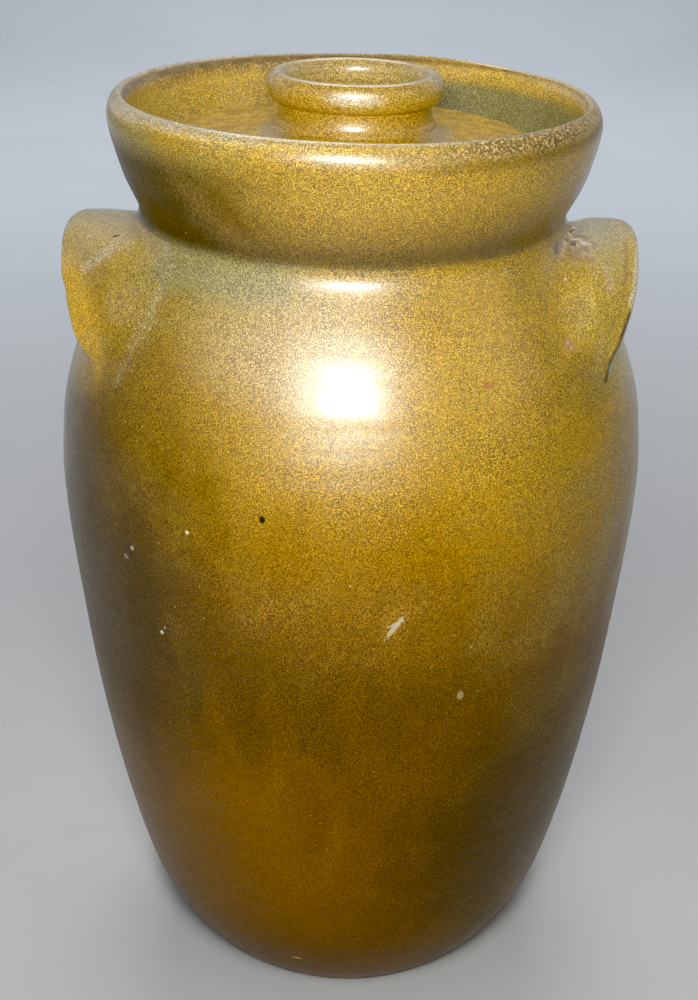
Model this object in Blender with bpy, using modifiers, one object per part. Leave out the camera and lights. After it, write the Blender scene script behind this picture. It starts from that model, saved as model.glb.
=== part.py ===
# Water-sealed stoneware fermenting crock: egg-shaped body, flared collar with
# an inner throat ring (together they form the water gutter), two lug handles,
# a lifting lid made of plate, skirt, neck and rolled ring, and a press weight
# in two halves that lies on the floor inside.
# Units are metres, +Z is up. The origin is the centre of the base, on the face
# the crock stands on. The handles are on the +X (right) and -X (left) sides.

import math

import bmesh
import bpy
import numpy as np

# ---------------------------------------------------------------- dimensions
GAP = 0.0003              # clearance between pieces that touch
SEGMENTS = 48             # facets round every turned piece

# body
WALL = 0.0095             # thickness of the thrown wall
FLOOR = 0.0120            # thickness of the floor
NECK_Z = 0.3380           # height of the crease under the collar
NECK_R = 0.0842           # radius of that crease
NECK_BORE_R = 0.0625      # the shoulder's inner edge
INNER_WALL_LOW_Z = 0.030  # the inner wall follows the outer between these
INNER_WALL_HIGH_Z = 0.318

# outer side of the body as (height, radius), base to crease
BODY_STATIONS = (
    (0.0000, 0.0695), (0.0030, 0.0720), (0.0090, 0.0776), (0.0200, 0.0850),
    (0.0400, 0.0938), (0.0690, 0.1009), (0.1070, 0.1078), (0.1520, 0.1135),
    (0.1980, 0.1175), (0.2320, 0.1193), (0.2520, 0.1181), (0.2700, 0.1151),
    (0.2930, 0.1070), (0.3080, 0.1000), (0.3180, 0.0943), (0.3260, 0.0891),
    (0.3310, 0.0861), (0.3345, 0.0847), (NECK_Z, NECK_R),
)

# collar
HEIGHT = 0.381            # base to the crest of the collar's lip
LIP_R = 0.0930            # widest radius of the lip
LIP_CREST_R = 0.0890      # radius of the top of the lip
SEAT_Z = NECK_Z + GAP     # underside of the collar and throat ring
COLLAR_FOOT_R = 0.0705    # the collar's inner radius where it stands

# sides of the collar as (height, radius)
COLLAR_OUTER = (          # bottom to top
    (SEAT_Z, NECK_R), (0.3400, 0.0846), (0.3425, 0.0856), (0.3460, 0.0869),
    (0.3500, 0.0879), (0.3550, 0.0889), (0.3610, 0.0902), (0.3670, 0.0913),
    (0.3725, 0.0922), (0.3765, LIP_R), (0.3795, 0.0919), (HEIGHT, LIP_CREST_R),
)
COLLAR_INNER = (          # top to bottom
    (0.3800, 0.0865), (0.3770, 0.0848), (0.3700, 0.0834), (0.3600, 0.0806),
    (0.3520, 0.0763), (0.3460, 0.0720), (SEAT_Z, COLLAR_FOOT_R),
)

# throat ring, which is the floor and inner wall of the water gutter
GUTTER_FLOOR_Z = 0.3444
THROAT_R = 0.0550
THROAT_WALL_R = 0.0598
THROAT_TOP_Z = 0.3530
SHELF_R = COLLAR_FOOT_R - GAP

# lug handles. Each is a hood whose wide flanks are smeared on to the shoulder.
# Both lines run from the crown to a foot, at equal steps.
LUG_ROOT = (              # lute line: (angle from the side in degrees, height)
    (0.0, 0.3330), (14.0, 0.3338), (28.0, 0.3328), (37.0, 0.3288),
    (42.8, 0.3225), (45.0, 0.3140), (44.3, 0.3050), (41.5, 0.2950),
    (36.5, 0.2835),
)
LUG_EDGE = (              # free edge: (angle in degrees, height, radius)
    (0.0, 0.3270, 0.1116), (5.5, 0.3257, 0.1118), (11.0, 0.3212, 0.1122),
    (16.0, 0.3152, 0.1125), (20.5, 0.3078, 0.1125), (24.0, 0.3000, 0.1121),
    (27.0, 0.2925, 0.1116), (29.5, 0.2855, 0.1114), (31.5, 0.2785, 0.1126),
)
LUG_THICK = 0.0100
LUG_EDGE_ROUND = 0.0045
LUG_UNDER_FLARE = 0.0025  # how far the underside spreads where it meets the wall
LUG_WALL_GAP = 2 * GAP    # clearance between the lug's back and the body
LUG_EDGE_COVER = 0.0008   # least height of the free edge above the body, past GAP
LUG_FACE_COVER = 0.0010   # the same for the upper face
LUG_FACE_POWER = 2.5      # above 1 the upper face starts level, then drops
LUG_LINE_STEPS = 8        # curve points between two stations of a lug line
LUG_STEPS = 24            # spans of the loft from foot to foot
LUG_FACE_STEPS = 6        # spans along the upper face of a section
LUG_EDGE_STEPS = 6        # spans round its free edge
LUG_UNDER_STEPS = 3       # spans from the edge back to the wall
LUG_ROOT_STEPS = 8        # spans along the wall
LUG_TANGENT_STEP = 0.01   # half the span over which the edge's slope is taken
LUG_SHARP_ANGLE = math.radians(50)

# lid
PLATE_R = 0.0678
PLATE_UNDER_Z = 0.3570
PLATE_TOP_Z = 0.3652
DISH_R = 0.0238           # dished middle of the lid
DISH_Z = 0.3668
SKIRT_OUT_R = 0.0662
SKIRT_IN_R = 0.0615
SKIRT_ROUND = 0.0014      # chamfer on the skirt's lower edges
LID_NECK_SEAT_Z = 0.3712  # top of the flare, where the neck stands
LID_NECK_TOP_Z = 0.3780
LID_NECK_R = 0.0296
LID_NECK_BORE_R = DISH_R + 0.0016
RING_CREST_Z = 0.3885
RING_MID_R = 0.0290       # middle of the rolled ring's section
RING_HALF_W = 0.0040
RING_HALF_H = 0.0054
RING_POINTS = 16          # points round that section

# press weight
WEIGHT_R = 0.0660
WEIGHT_T = 0.0200
WEIGHT_MID_Z = FLOOR + GAP + WEIGHT_T / 2
WEIGHT_SPLIT = 0.0015     # half of the slot between the two halves
WEIGHT_EDGE_ROUND = 0.0022
FINGER_HOLE_R = 0.0125
FINGER_HOLE_X = 0.0300
FINGER_HOLE_FACETS = 24
CUTTER_WIDTH = 0.2        # both are larger than the weight they cut
CUTTER_HEIGHT = 0.1

# object: (material, base colour, roughness)
FINISHES = {
    "crock_body": ("body_glaze", (0.270, 0.150, 0.014), 0.30),
    "flared_collar": ("collar_glaze", (0.300, 0.180, 0.022), 0.30),
    "throat_ring": ("throat_glaze", (0.230, 0.150, 0.030), 0.35),
    "lug_handle_left": ("lug_left_glaze", (0.330, 0.190, 0.022), 0.32),
    "lug_handle_right": ("lug_right_glaze", (0.320, 0.190, 0.026), 0.32),
    "lid_disc": ("lid_glaze", (0.300, 0.175, 0.020), 0.32),
    "lid_skirt": ("skirt_bare_clay", (0.420, 0.310, 0.190), 0.80),
    "lid_neck": ("lid_neck_glaze", (0.310, 0.185, 0.022), 0.30),
    "lid_grip_ring": ("lid_ring_glaze", (0.330, 0.190, 0.022), 0.28),
    "press_weight_left": ("weight_left_clay", (0.460, 0.360, 0.250), 0.75),
    "press_weight_right": ("weight_right_clay", (0.440, 0.345, 0.240), 0.75),
}


# ------------------------------------------------------------------- set-up
for old in list(bpy.data.objects):
    bpy.data.objects.remove(old, do_unlink=True)


def collection(name):
    found = bpy.data.collections.get(name)
    if found is None:
        found = bpy.data.collections.new(name)
        bpy.context.scene.collection.children.link(found)
    return found


PARTS = collection("fermenting_crock")
CUTTERS = collection("cutters")


def move_to(target, obj):
    """Take an object out of its collections and put it in another."""
    for owner in list(obj.users_collection):
        owner.objects.unlink(obj)
    target.objects.link(obj)


def finish(obj):
    """Give an object the material listed for it."""
    name, colour, roughness = FINISHES[obj.name]
    material = bpy.data.materials.get(name) or bpy.data.materials.new(name)
    material.use_nodes = True
    shader = material.node_tree.nodes["Principled BSDF"]
    shader.inputs["Base Color"].default_value = (*colour, 1.0)
    shader.inputs["Roughness"].default_value = roughness
    shader.inputs["Metallic"].default_value = 0.0
    obj.data.materials.append(material)


# ------------------------------------------------------------ curves and turning
def smooth_curve(stations, steps):
    """Catmull-Rom curve through stations, each a tuple of coordinates."""
    # one more station past each end keeps the end spans in line
    before = [2 * a - b for a, b in zip(stations[0], stations[1])]
    after = [2 * a - b for a, b in zip(stations[-1], stations[-2])]
    padded = [before, *stations, after]
    curve = []
    for four in zip(padded, padded[1:], padded[2:], padded[3:]):
        for k in range(steps):
            t = k / steps
            curve.append(tuple(
                0.5 * (2 * b + (c - a) * t
                       + (2 * a - 5 * b + 4 * c - d) * t * t
                       + (3 * b - a - 3 * c + d) * t ** 3)
                for a, b, c, d in zip(*four)))
    curve.append(stations[-1])
    return curve


def mix(start, end, share):
    """Point a share of the way from start to end."""
    return tuple(a + (b - a) * share for a, b in zip(start, end))


def inset(curve, wall):
    """Points a wall's thickness inside a (height, radius) curve."""
    points = []
    for i, (z, r) in enumerate(curve):
        z_below, r_below = curve[max(i - 1, 0)]
        z_above, r_above = curve[min(i + 1, len(curve) - 1)]
        rise, spread = z_above - z_below, r_above - r_below
        length = math.hypot(rise, spread)
        points.append((z + spread / length * wall, r - rise / length * wall))
    return points


def turned(name, profile, ring=False):
    """Solid of revolution about Z from (height, radius) points, which run
    down the outer side of the section. A ring's section is a closed loop."""
    mesh = bpy.data.meshes.new(name)
    verts = [(r, 0.0, z) for z, r in profile]
    edges = [(i, i + 1) for i in range(len(verts) - 1)]
    if ring:
        edges.append((len(verts) - 1, 0))
    mesh.from_pydata(verts, edges, [])
    obj = bpy.data.objects.new(name, mesh)
    PARTS.objects.link(obj)
    screw = obj.modifiers.new("turn", "SCREW")
    screw.axis = "Z"
    screw.angle = math.tau
    screw.steps = SEGMENTS
    screw.render_steps = SEGMENTS
    screw.use_merge_vertices = True
    screw.merge_threshold = 0.00005
    screw.use_smooth_shade = True
    finish(obj)
    return obj


# --------------------------------------------------------------- crock body
def build_body():
    """Profile from the middle of the floor, up inside and down outside."""
    floor_corner = [
        (FLOOR, 0.0), (FLOOR, 0.0680), (FLOOR + 0.0018, 0.0715),
        (FLOOR + 0.0070, 0.0762),
    ]
    inner_wall = [(z, r) for z, r in inset(smooth_curve(BODY_STATIONS, 2), WALL)
                  if INNER_WALL_LOW_Z < z < INNER_WALL_HIGH_Z]
    shoulder_lip = [
        (0.3270, 0.0740), (0.3335, NECK_BORE_R + 0.0010),
        (NECK_Z - 0.0012, NECK_BORE_R), (NECK_Z, NECK_BORE_R + 0.0012),
    ]
    turned("crock_body", [*floor_corner, *inner_wall[::2], *shoulder_lip,
                          *reversed(BODY_STATIONS), (0.0, 0.0)])


# --------------------------------------------------- collar and throat ring
def build_collar():
    turned("flared_collar", [*reversed(COLLAR_OUTER), *reversed(COLLAR_INNER)],
           ring=True)


def build_throat_ring():
    """Upright wall with a shelf running outwards from its foot."""
    turned("throat_ring", [
        (THROAT_TOP_Z, (THROAT_R + THROAT_WALL_R) / 2),
        (THROAT_TOP_Z - 0.0008, THROAT_WALL_R - 0.0006),
        (THROAT_TOP_Z - 0.0025, THROAT_WALL_R),
        (GUTTER_FLOOR_Z + 0.0012, THROAT_WALL_R + 0.0002),
        (GUTTER_FLOOR_Z, THROAT_WALL_R + 0.0014),
        (GUTTER_FLOOR_Z, SHELF_R),
        (SEAT_Z, SHELF_R),
        (SEAT_Z, THROAT_R + 0.0012),
        (SEAT_Z + 0.0012, THROAT_R),
        (THROAT_TOP_Z - 0.0016, THROAT_R),
        (THROAT_TOP_Z - 0.0004, THROAT_R + 0.0010),
    ], ring=True)


# -------------------------------------------------------------- lug handles
LUG_ROOT_FINE = smooth_curve(LUG_ROOT, LUG_LINE_STEPS)
LUG_EDGE_FINE = smooth_curve(LUG_EDGE, LUG_LINE_STEPS)
BODY_HEIGHTS, BODY_RADII = zip(*BODY_STATIONS)


def body_radius(z):
    """Outer radius of the body at a height."""
    return float(np.interp(z, BODY_HEIGHTS, BODY_RADII))


def along(curve, s):
    """Point of a lug line at s: 0 is the crown, +1 and -1 are the feet.
    Its angle is in radians, with the sign of s."""
    place = min(abs(s), 1.0) * (len(curve) - 1)
    i = min(int(place), len(curve) - 2)
    angle, *rest = mix(curve[i], curve[i + 1], place - i)
    return (math.copysign(1.0, s) * math.radians(angle), *rest)


def polar(angle, z, r):
    return (r * math.cos(angle), r * math.sin(angle), z)


def on_wall(angle, z):
    return polar(angle, z, body_radius(z) + LUG_WALL_GAP)


def lug_section(s):
    """Closed loop of points across the hood at s, for the +X side: out along
    the upper face, round the free edge, back underneath and along the wall."""
    root = along(LUG_ROOT_FINE, s)
    edge_angle, edge_z, edge_r = along(LUG_EDGE_FINE, s)
    angle_0, z_0, _ = along(LUG_EDGE_FINE, s - LUG_TANGENT_STEP)
    angle_1, z_1, _ = along(LUG_EDGE_FINE, s + LUG_TANGENT_STEP)
    run, rise = (angle_1 - angle_0) * edge_r, z_1 - z_0
    length = math.hypot(run, rise)
    # direction across the edge, away from the arch's middle
    out_round, out_z = -rise / length, run / length
    half = LUG_THICK / 2
    rounding = min(LUG_EDGE_ROUND, 0.5 * (edge_r - body_radius(edge_z)))

    def across(offset):
        """Angle and height at an offset across the edge line."""
        return edge_angle + out_round * offset / edge_r, edge_z + out_z * offset

    def edge_point(offset, r):
        angle, z = across(offset)
        return polar(angle, z, max(r, body_radius(z) + GAP + LUG_EDGE_COVER))

    # upper face, lifted wherever it would sink into the body
    start = on_wall(*root)
    corner = edge_point(half, edge_r - rounding)
    loop = [start]
    for k in range(1, LUG_FACE_STEPS):
        share = k / LUG_FACE_STEPS
        x, y, _ = mix(start, corner, share)
        z = start[2] + (corner[2] - start[2]) * share ** LUG_FACE_POWER
        cover = LUG_FACE_COVER * min(1.0, 3 * share)
        grow = max(1.0, (body_radius(z) + GAP + cover) / math.hypot(x, y))
        loop.append((x * grow, y * grow, z))

    # rounded free edge
    for k in range(LUG_EDGE_STEPS + 1):
        turn = math.pi * k / LUG_EDGE_STEPS
        loop.append(edge_point(half * math.cos(turn),
                               edge_r - rounding * (1 - math.sin(turn))))

    # underside, back to the wall
    under = across(-(half + LUG_UNDER_FLARE))
    last, end = loop[-1], on_wall(*under)
    for k in range(1, LUG_UNDER_STEPS):
        loop.append(mix(last, end, k / LUG_UNDER_STEPS))

    # along the wall, up to the lute line
    for k in range(LUG_ROOT_STEPS):
        loop.append(on_wall(*mix(under, root, k / LUG_ROOT_STEPS)))
    return loop


def build_lug(name, side):
    """Loft between sections along the arch; side is +1 or -1 on X."""
    builder = bmesh.new()
    rings = []
    for i in range(LUG_STEPS + 1):
        section = lug_section(-1.0 + 2.0 * i / LUG_STEPS)
        rings.append([builder.verts.new((side * x, side * y, z))
                      for x, y, z in section])
    count = len(rings[0])
    for ring, following in zip(rings, rings[1:]):
        for k in range(count):
            k_next = (k + 1) % count
            builder.faces.new((ring[k], ring[k_next],
                               following[k_next], following[k]))
    builder.faces.new(list(reversed(rings[0])))
    builder.faces.new(rings[-1])
    bmesh.ops.recalc_face_normals(builder, faces=builder.faces)
    mesh = bpy.data.meshes.new(name)
    builder.to_mesh(mesh)
    builder.free()
    mesh.shade_smooth()
    mesh.set_sharp_from_angle(angle=LUG_SHARP_ANGLE)
    obj = bpy.data.objects.new(name, mesh)
    PARTS.objects.link(obj)
    finish(obj)


# ---------------------------------------------------------------------- lid
def lid_disc():
    """Plate with a dished middle and a flare that carries the neck."""
    return turned("lid_disc", [
        (DISH_Z, 0.0),
        (DISH_Z + 0.0004, DISH_R * 0.7),
        (DISH_Z + 0.0016, DISH_R),
        (LID_NECK_SEAT_Z - 0.0006, DISH_R + 0.0010),
        (LID_NECK_SEAT_Z, LID_NECK_BORE_R),
        (LID_NECK_SEAT_Z, LID_NECK_R),
        (LID_NECK_SEAT_Z - 0.0022, LID_NECK_R + 0.0022),
        (LID_NECK_SEAT_Z - 0.0040, LID_NECK_R + 0.0058),
        (PLATE_TOP_Z + 0.0008, LID_NECK_R + 0.0110),
        (PLATE_TOP_Z + 0.0002, LID_NECK_R + 0.0180),
        (PLATE_TOP_Z, PLATE_R - 0.0030),
        (PLATE_TOP_Z - 0.0008, PLATE_R - 0.0008),
        (PLATE_TOP_Z - 0.0030, PLATE_R),
        (PLATE_UNDER_Z + 0.0012, PLATE_R - 0.0004),
        (PLATE_UNDER_Z, PLATE_R - 0.0016),
        (PLATE_UNDER_Z, 0.0),
    ])


def lid_skirt():
    """Ring under the plate that reaches down to the gutter floor."""
    top_z = PLATE_UNDER_Z - GAP
    foot_z = GUTTER_FLOOR_Z + GAP
    return turned("lid_skirt", [
        (top_z, SKIRT_IN_R), (top_z, SKIRT_OUT_R),
        (foot_z + SKIRT_ROUND, SKIRT_OUT_R), (foot_z, SKIRT_OUT_R - SKIRT_ROUND),
        (foot_z, SKIRT_IN_R + SKIRT_ROUND), (foot_z + SKIRT_ROUND, SKIRT_IN_R),
    ], ring=True)


def lid_neck():
    """Short collar between the plate and the rolled ring."""
    return turned("lid_neck", [
        (LID_NECK_TOP_Z, LID_NECK_R - 0.0036),
        (LID_NECK_TOP_Z, LID_NECK_R),
        (LID_NECK_TOP_Z - 0.0016, LID_NECK_R - 0.0006),
        (LID_NECK_TOP_Z - 0.0036, LID_NECK_R - 0.0006),
        (LID_NECK_SEAT_Z + GAP, LID_NECK_R),
        (LID_NECK_SEAT_Z + GAP, LID_NECK_BORE_R),
        (LID_NECK_SEAT_Z + 0.0030, DISH_R + 0.0012),
        (LID_NECK_TOP_Z - 0.0010, LID_NECK_BORE_R),
    ], ring=True)


def lid_grip_ring():
    """Rolled ring of oval section, flattened where it sits on the neck."""
    section = []
    for k in range(RING_POINTS):
        angle = math.pi / 2 - math.tau * k / RING_POINTS
        z = RING_CREST_Z - RING_HALF_H + RING_HALF_H * math.sin(angle)
        r = RING_MID_R + RING_HALF_W * math.cos(angle)
        section.append((max(z, LID_NECK_TOP_Z + GAP), r))
    return turned("lid_grip_ring", section, ring=True)


def build_lid():
    """Hang the lid's pieces on one empty, so that they lift together."""
    axis = bpy.data.objects.new("lid_lift_axis", None)
    axis.location = (0.0, 0.0, PLATE_UNDER_Z)
    PARTS.objects.link(axis)
    for piece in (lid_disc(), lid_skirt(), lid_neck(), lid_grip_ring()):
        piece.parent = axis
        # the pieces' origins stay at the centre of the base
        piece.location = -axis.location


# ------------------------------------------------------------- press weight
def as_cutter(name):
    """Name the primitive just added and make it a hidden cutter."""
    obj = bpy.context.object
    obj.name = name
    move_to(CUTTERS, obj)
    obj.hide_render = True
    obj.display_type = "WIRE"
    return obj


def half_cutter(name, side):
    """Box over all of the disc but the half on the given side."""
    bpy.ops.mesh.primitive_cube_add(
        size=1.0, location=(side * (WEIGHT_SPLIT - CUTTER_WIDTH / 2), 0.0, WEIGHT_MID_Z))
    obj = as_cutter(name)
    for v in obj.data.vertices:
        v.co = (v.co.x * CUTTER_WIDTH, v.co.y * CUTTER_WIDTH, v.co.z * CUTTER_HEIGHT)
    return obj


def hole_cutter(name, side):
    bpy.ops.mesh.primitive_cylinder_add(
        vertices=FINGER_HOLE_FACETS, radius=FINGER_HOLE_R, depth=CUTTER_HEIGHT,
        location=(side * FINGER_HOLE_X, 0.0, WEIGHT_MID_Z))
    return as_cutter(name)


def build_press_weight(name, side):
    """Half disc with a finger hole; side is +1 or -1 on X."""
    bpy.ops.mesh.primitive_cylinder_add(
        vertices=SEGMENTS, radius=WEIGHT_R, depth=WEIGHT_T,
        location=(0.0, 0.0, WEIGHT_MID_Z))
    obj = bpy.context.object
    obj.name = name
    obj.data.name = name
    move_to(PARTS, obj)
    for cutter in (half_cutter(name + "_half_cutter", side),
                   hole_cutter(name + "_hole_cutter", side)):
        cut = obj.modifiers.new("cut", "BOOLEAN")
        cut.operation = "DIFFERENCE"
        cut.solver = "EXACT"
        cut.object = cutter
    bevel = obj.modifiers.new("soft_edge", "BEVEL")
    bevel.width = WEIGHT_EDGE_ROUND
    bevel.segments = 2
    bevel.limit_method = "ANGLE"
    bevel.angle_limit = math.radians(40)
    obj.data.shade_smooth()
    finish(obj)


# -------------------------------------------------------------------- build
build_body()
build_collar()
build_throat_ring()
build_lid()
for hand, side in (("right", 1.0), ("left", -1.0)):
    build_lug("lug_handle_" + hand, side)
    build_press_weight("press_weight_" + hand, side)
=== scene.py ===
# Glazed stoneware crock with a flared collar, two lug handles, a lid with a ring grip and two
# half-round press weights inside. Metres, +Z up. It stands on z = 0 with its axis on Z.
# The lugs are on +X (right) and -X (left), and the camera looks from the front, -Y.
import math
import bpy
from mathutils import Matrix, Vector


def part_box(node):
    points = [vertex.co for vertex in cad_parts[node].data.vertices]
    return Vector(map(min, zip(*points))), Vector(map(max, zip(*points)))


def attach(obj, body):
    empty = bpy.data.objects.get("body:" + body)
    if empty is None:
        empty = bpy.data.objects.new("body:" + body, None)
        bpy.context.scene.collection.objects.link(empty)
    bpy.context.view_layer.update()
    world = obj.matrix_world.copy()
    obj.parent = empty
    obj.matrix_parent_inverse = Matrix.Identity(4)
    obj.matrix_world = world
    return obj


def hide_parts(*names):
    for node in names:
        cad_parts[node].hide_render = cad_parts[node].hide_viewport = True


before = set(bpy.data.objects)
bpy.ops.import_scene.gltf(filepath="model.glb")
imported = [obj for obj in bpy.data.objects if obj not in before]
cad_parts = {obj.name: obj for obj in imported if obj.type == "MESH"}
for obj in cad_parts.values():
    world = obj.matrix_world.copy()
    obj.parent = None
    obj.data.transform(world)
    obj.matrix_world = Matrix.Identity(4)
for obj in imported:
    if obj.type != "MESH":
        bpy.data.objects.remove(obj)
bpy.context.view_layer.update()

from types import SimpleNamespace

import bmesh
import bpy
import numpy as np
from mathutils import Matrix, Vector


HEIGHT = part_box("flared_collar")[1].z      # crest of the lip
WEIGHT_LOW, WEIGHT_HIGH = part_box("press_weight_right")

# --------------------------------------------------------------------------
# Measured outlines
# --------------------------------------------------------------------------
# outer wall of the body as (z, radius), foot to neck
BODY_STATIONS = (
    (0.0000, 0.0695), (0.0030, 0.0720), (0.0090, 0.0776), (0.0200, 0.0850),
    (0.0400, 0.0938), (0.0690, 0.1009), (0.1070, 0.1078), (0.1520, 0.1135),
    (0.1980, 0.1175), (0.2320, 0.1193), (0.2520, 0.1181), (0.2700, 0.1151),
    (0.2930, 0.1070), (0.3080, 0.1000), (0.3180, 0.0943), (0.3260, 0.0891),
    (0.3310, 0.0861), (0.3345, 0.0847), (0.3380, 0.0842),
)
# collar as (z, radius): outside going up, then inside going down
COLLAR_OUTER = (
    (0.3383, 0.0842), (0.3400, 0.0846), (0.3425, 0.0856), (0.3460, 0.0869),
    (0.3500, 0.0879), (0.3550, 0.0889), (0.3610, 0.0903), (0.3665, 0.0917),
    (0.3700, 0.0924), (0.3725, 0.0927), (0.3745, 0.0926), (0.3765, 0.0922),
    (0.3785, 0.0914), (0.3800, 0.0902), (0.3809, 0.0886), (0.3810, 0.0874),
)
COLLAR_INNER = (
    (0.3800, 0.0865), (0.3770, 0.0848), (0.3700, 0.0834), (0.3600, 0.0806),
    (0.3520, 0.0763), (0.3460, 0.0720), (0.3400, 0.0705),
)
# Lug lines run from the crown to a foot; angles are in degrees from the X axis.
# Lute line, where the lug meets the body, as (angle, z)
LUG_ROOT_FRONT = (
    (0.0, 0.3330), (14.0, 0.3338), (28.0, 0.3328), (37.0, 0.3288),
    (42.8, 0.3225), (45.0, 0.3140), (44.3, 0.3050), (41.5, 0.2950),
    (36.5, 0.2835),
)
LUG_ROOT_BACK = (
    (0.0, 0.3330), (8.0, 0.3302), (15.0, 0.3268), (22.0, 0.3225),
    (28.0, 0.3170), (32.5, 0.3100), (35.0, 0.3022), (35.5, 0.2935),
    (34.0, 0.2835),
)
# free edge as (angle, z, radius)
LUG_EDGE = (
    (0.0, 0.3270, 0.1113), (5.5, 0.3257, 0.1115), (11.0, 0.3212, 0.1119),
    (16.0, 0.3152, 0.1123), (20.5, 0.3078, 0.1124), (24.0, 0.3000, 0.1121),
    (27.0, 0.2925, 0.1116), (29.5, 0.2855, 0.1112), (31.5, 0.2785, 0.1118),
)
WALL = 0.0095                 # wall thickness
FLOOR = 0.0120                # top of the crock's floor


# --------------------------------------------------------------------------
# Curves
# --------------------------------------------------------------------------
def smooth_curve(stations, steps):
    """Catmull-Rom curve through the stations, with so many steps to a span."""
    points = np.array(stations, float)
    last = len(points) - 1
    curve = []
    for i in range(last):
        start, end = points[i], points[i + 1]
        before = points[i - 1] if i > 0 else 2 * start - end
        after = points[i + 2] if i + 2 <= last else 2 * end - start
        for k in range(steps):
            t = k / steps
            curve.append(0.5 * (2 * start + (end - before) * t
                                + (2 * before - 5 * start + 4 * end - after) * t * t
                                + (3 * start - before - 3 * end + after) * t ** 3))
    curve.append(points[-1])
    return np.array(curve)


BODY_FINE = smooth_curve(BODY_STATIONS, 24)


def body_radius(z):
    return np.interp(z, BODY_FINE[:, 0], BODY_FINE[:, 1])


def resample(points, spacing):
    """Even spacing along a polyline of (z, radius) points."""
    along_line = np.r_[0, np.cumsum(np.hypot(*np.diff(points, axis=0).T))]
    count = max(2, int(round(along_line[-1] / spacing)) + 1)
    places = np.linspace(0, along_line[-1], count)
    return np.stack([np.interp(places, along_line, points[:, i]) for i in (0, 1)], -1)


def smoothstep(low, high, x):
    t = np.clip((x - low) / (high - low), 0.0, 1.0)
    return t * t * (3 - 2 * t)


def waves(count, low, high, seed):
    """Sum of a few sine waves with seeded phases, about +-1."""
    random = np.random.default_rng(seed)
    rates = random.uniform(low, high, count)
    phases = random.uniform(0, math.tau, count)
    sizes = random.uniform(0.4, 1.0, count)
    sizes /= sizes.sum()
    return lambda x: sum(size * np.sin(rate * x + phase)
                         for size, rate, phase in zip(sizes, rates, phases))


# --------------------------------------------------------------------------
# The potter's hand
# --------------------------------------------------------------------------
throwing = waves(7, 260.0, 900.0, 5)
throwing_slow = waves(4, 50.0, 140.0, 6)
LIP_SIZES = np.random.default_rng(8).uniform(-1, 1, 7)
LIP_PHASES = np.random.default_rng(9).uniform(0, math.tau, 7)


def hand(points):
    """The small departures from a true turned shape, as one field of the
    crock, so that every piece follows the same warp."""
    x, y, z = points.T
    radius = np.hypot(x, y)
    angle = np.arctan2(y, x)
    share = np.clip(z / HEIGHT, 0, 1.05)
    # out of round: an oval that grows upward, and a three-sided swing
    grow = (0.0022 * np.cos(2 * angle + 2.1) * smoothstep(0.1, 0.9, share)
            + 0.0012 * np.cos(3 * angle + 1.9 + 1.5 * share))
    # throwing marks: slow rings, and fine ones that climb 3 mm a turn
    above_foot = smoothstep(0.02, 0.1, share)
    spiral = z + 0.0030 * angle / math.tau
    grow += 0.0011 * throwing_slow(z) * above_foot
    grow += 0.00055 * throwing(spiral) * above_foot
    warped = radius * (1 + grow * smoothstep(0.0, 0.03, radius))
    # the neck is pinched a little where the lugs were pressed on, more on +X
    pinch = np.exp(-((z - 0.3430) / 0.0085) ** 2) * smoothstep(0.0765, 0.0815, radius)
    warped -= pinch * np.cos(angle) ** 2 * np.where(np.cos(angle) > 0, 0.0032, 0.0022)
    # the collar and all that stands in it sit a little low on +X
    tilted = z - 0.0150 * smoothstep(0.262, 0.338, z) * x
    return np.stack([warped * np.cos(angle), warped * np.sin(angle), tilted], -1)


def collar_hand(points):
    """The hand, after an unevenness of the lip in height and radius."""
    angle = np.arctan2(points[:, 1], points[:, 0])
    near_lip = smoothstep(0.366, 0.380, points[:, 2])
    wobble = sum(0.00013 * size * np.cos((i + 3) * angle + phase)
                 for i, (size, phase) in enumerate(zip(LIP_SIZES, LIP_PHASES)))
    uneven = points.copy()
    uneven[:, 2] += wobble * near_lip
    uneven[:, :2] *= (1 + 0.9 * wobble / 0.09 * near_lip)[:, None]
    return hand(uneven)


# --------------------------------------------------------------------------
# Meshes
# --------------------------------------------------------------------------
def mesh_object(name, points, faces, sharp=None):
    """Smooth-shaded object; edges over sharp degrees stay hard."""
    mesh = bpy.data.meshes.new(name)
    mesh.from_pydata(np.asarray(points, float).tolist(), [], faces)
    mesh.validate()
    mesh.update()
    piece = bpy.data.objects.new(name, mesh)
    bpy.context.scene.collection.objects.link(piece)
    mesh.shade_smooth()
    if sharp is not None:
        mesh.set_sharp_from_angle(angle=math.radians(sharp))
    return piece


def grid_faces(rows, columns, rows_close=False, columns_close=False):
    """Quads over a grid of points that is stored row by row."""
    faces = []
    for i in range(rows if rows_close else rows - 1):
        here, there = i * columns, (i + 1) % rows * columns
        for k in range(columns if columns_close else columns - 1):
            beside = (k + 1) % columns
            faces.append((here + k, there + k, there + beside, here + beside))
    return faces


def revolve(name, section, segments, closed=False, deform=hand, sharp=None):
    """Turns (z, radius) points about Z. A closed section is a loop; an open
    one starts and ends on the axis, at two poles."""
    section = np.array(section, float)
    rows = section if closed else section[1:-1]
    angles = np.arange(segments) * math.tau / segments
    points = np.concatenate([
        np.stack([radius * np.cos(angles), radius * np.sin(angles), np.full(segments, z)], -1)
        for z, radius in rows])
    faces = grid_faces(len(rows), segments, rows_close=closed, columns_close=True)
    if not closed:
        pole = len(points)
        last_row = pole - segments
        for k in range(segments):
            faces.append((pole, k, (k + 1) % segments))
        for k in range(segments):
            faces.append((pole + 1, last_row + (k + 1) % segments, last_row + k))
        poles = [(0.0, 0.0, section[0, 0]), (0.0, 0.0, section[-1, 0])]
        points = np.concatenate([points, np.array(poles)])
    return mesh_object(name, deform(points), faces, sharp)


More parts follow.
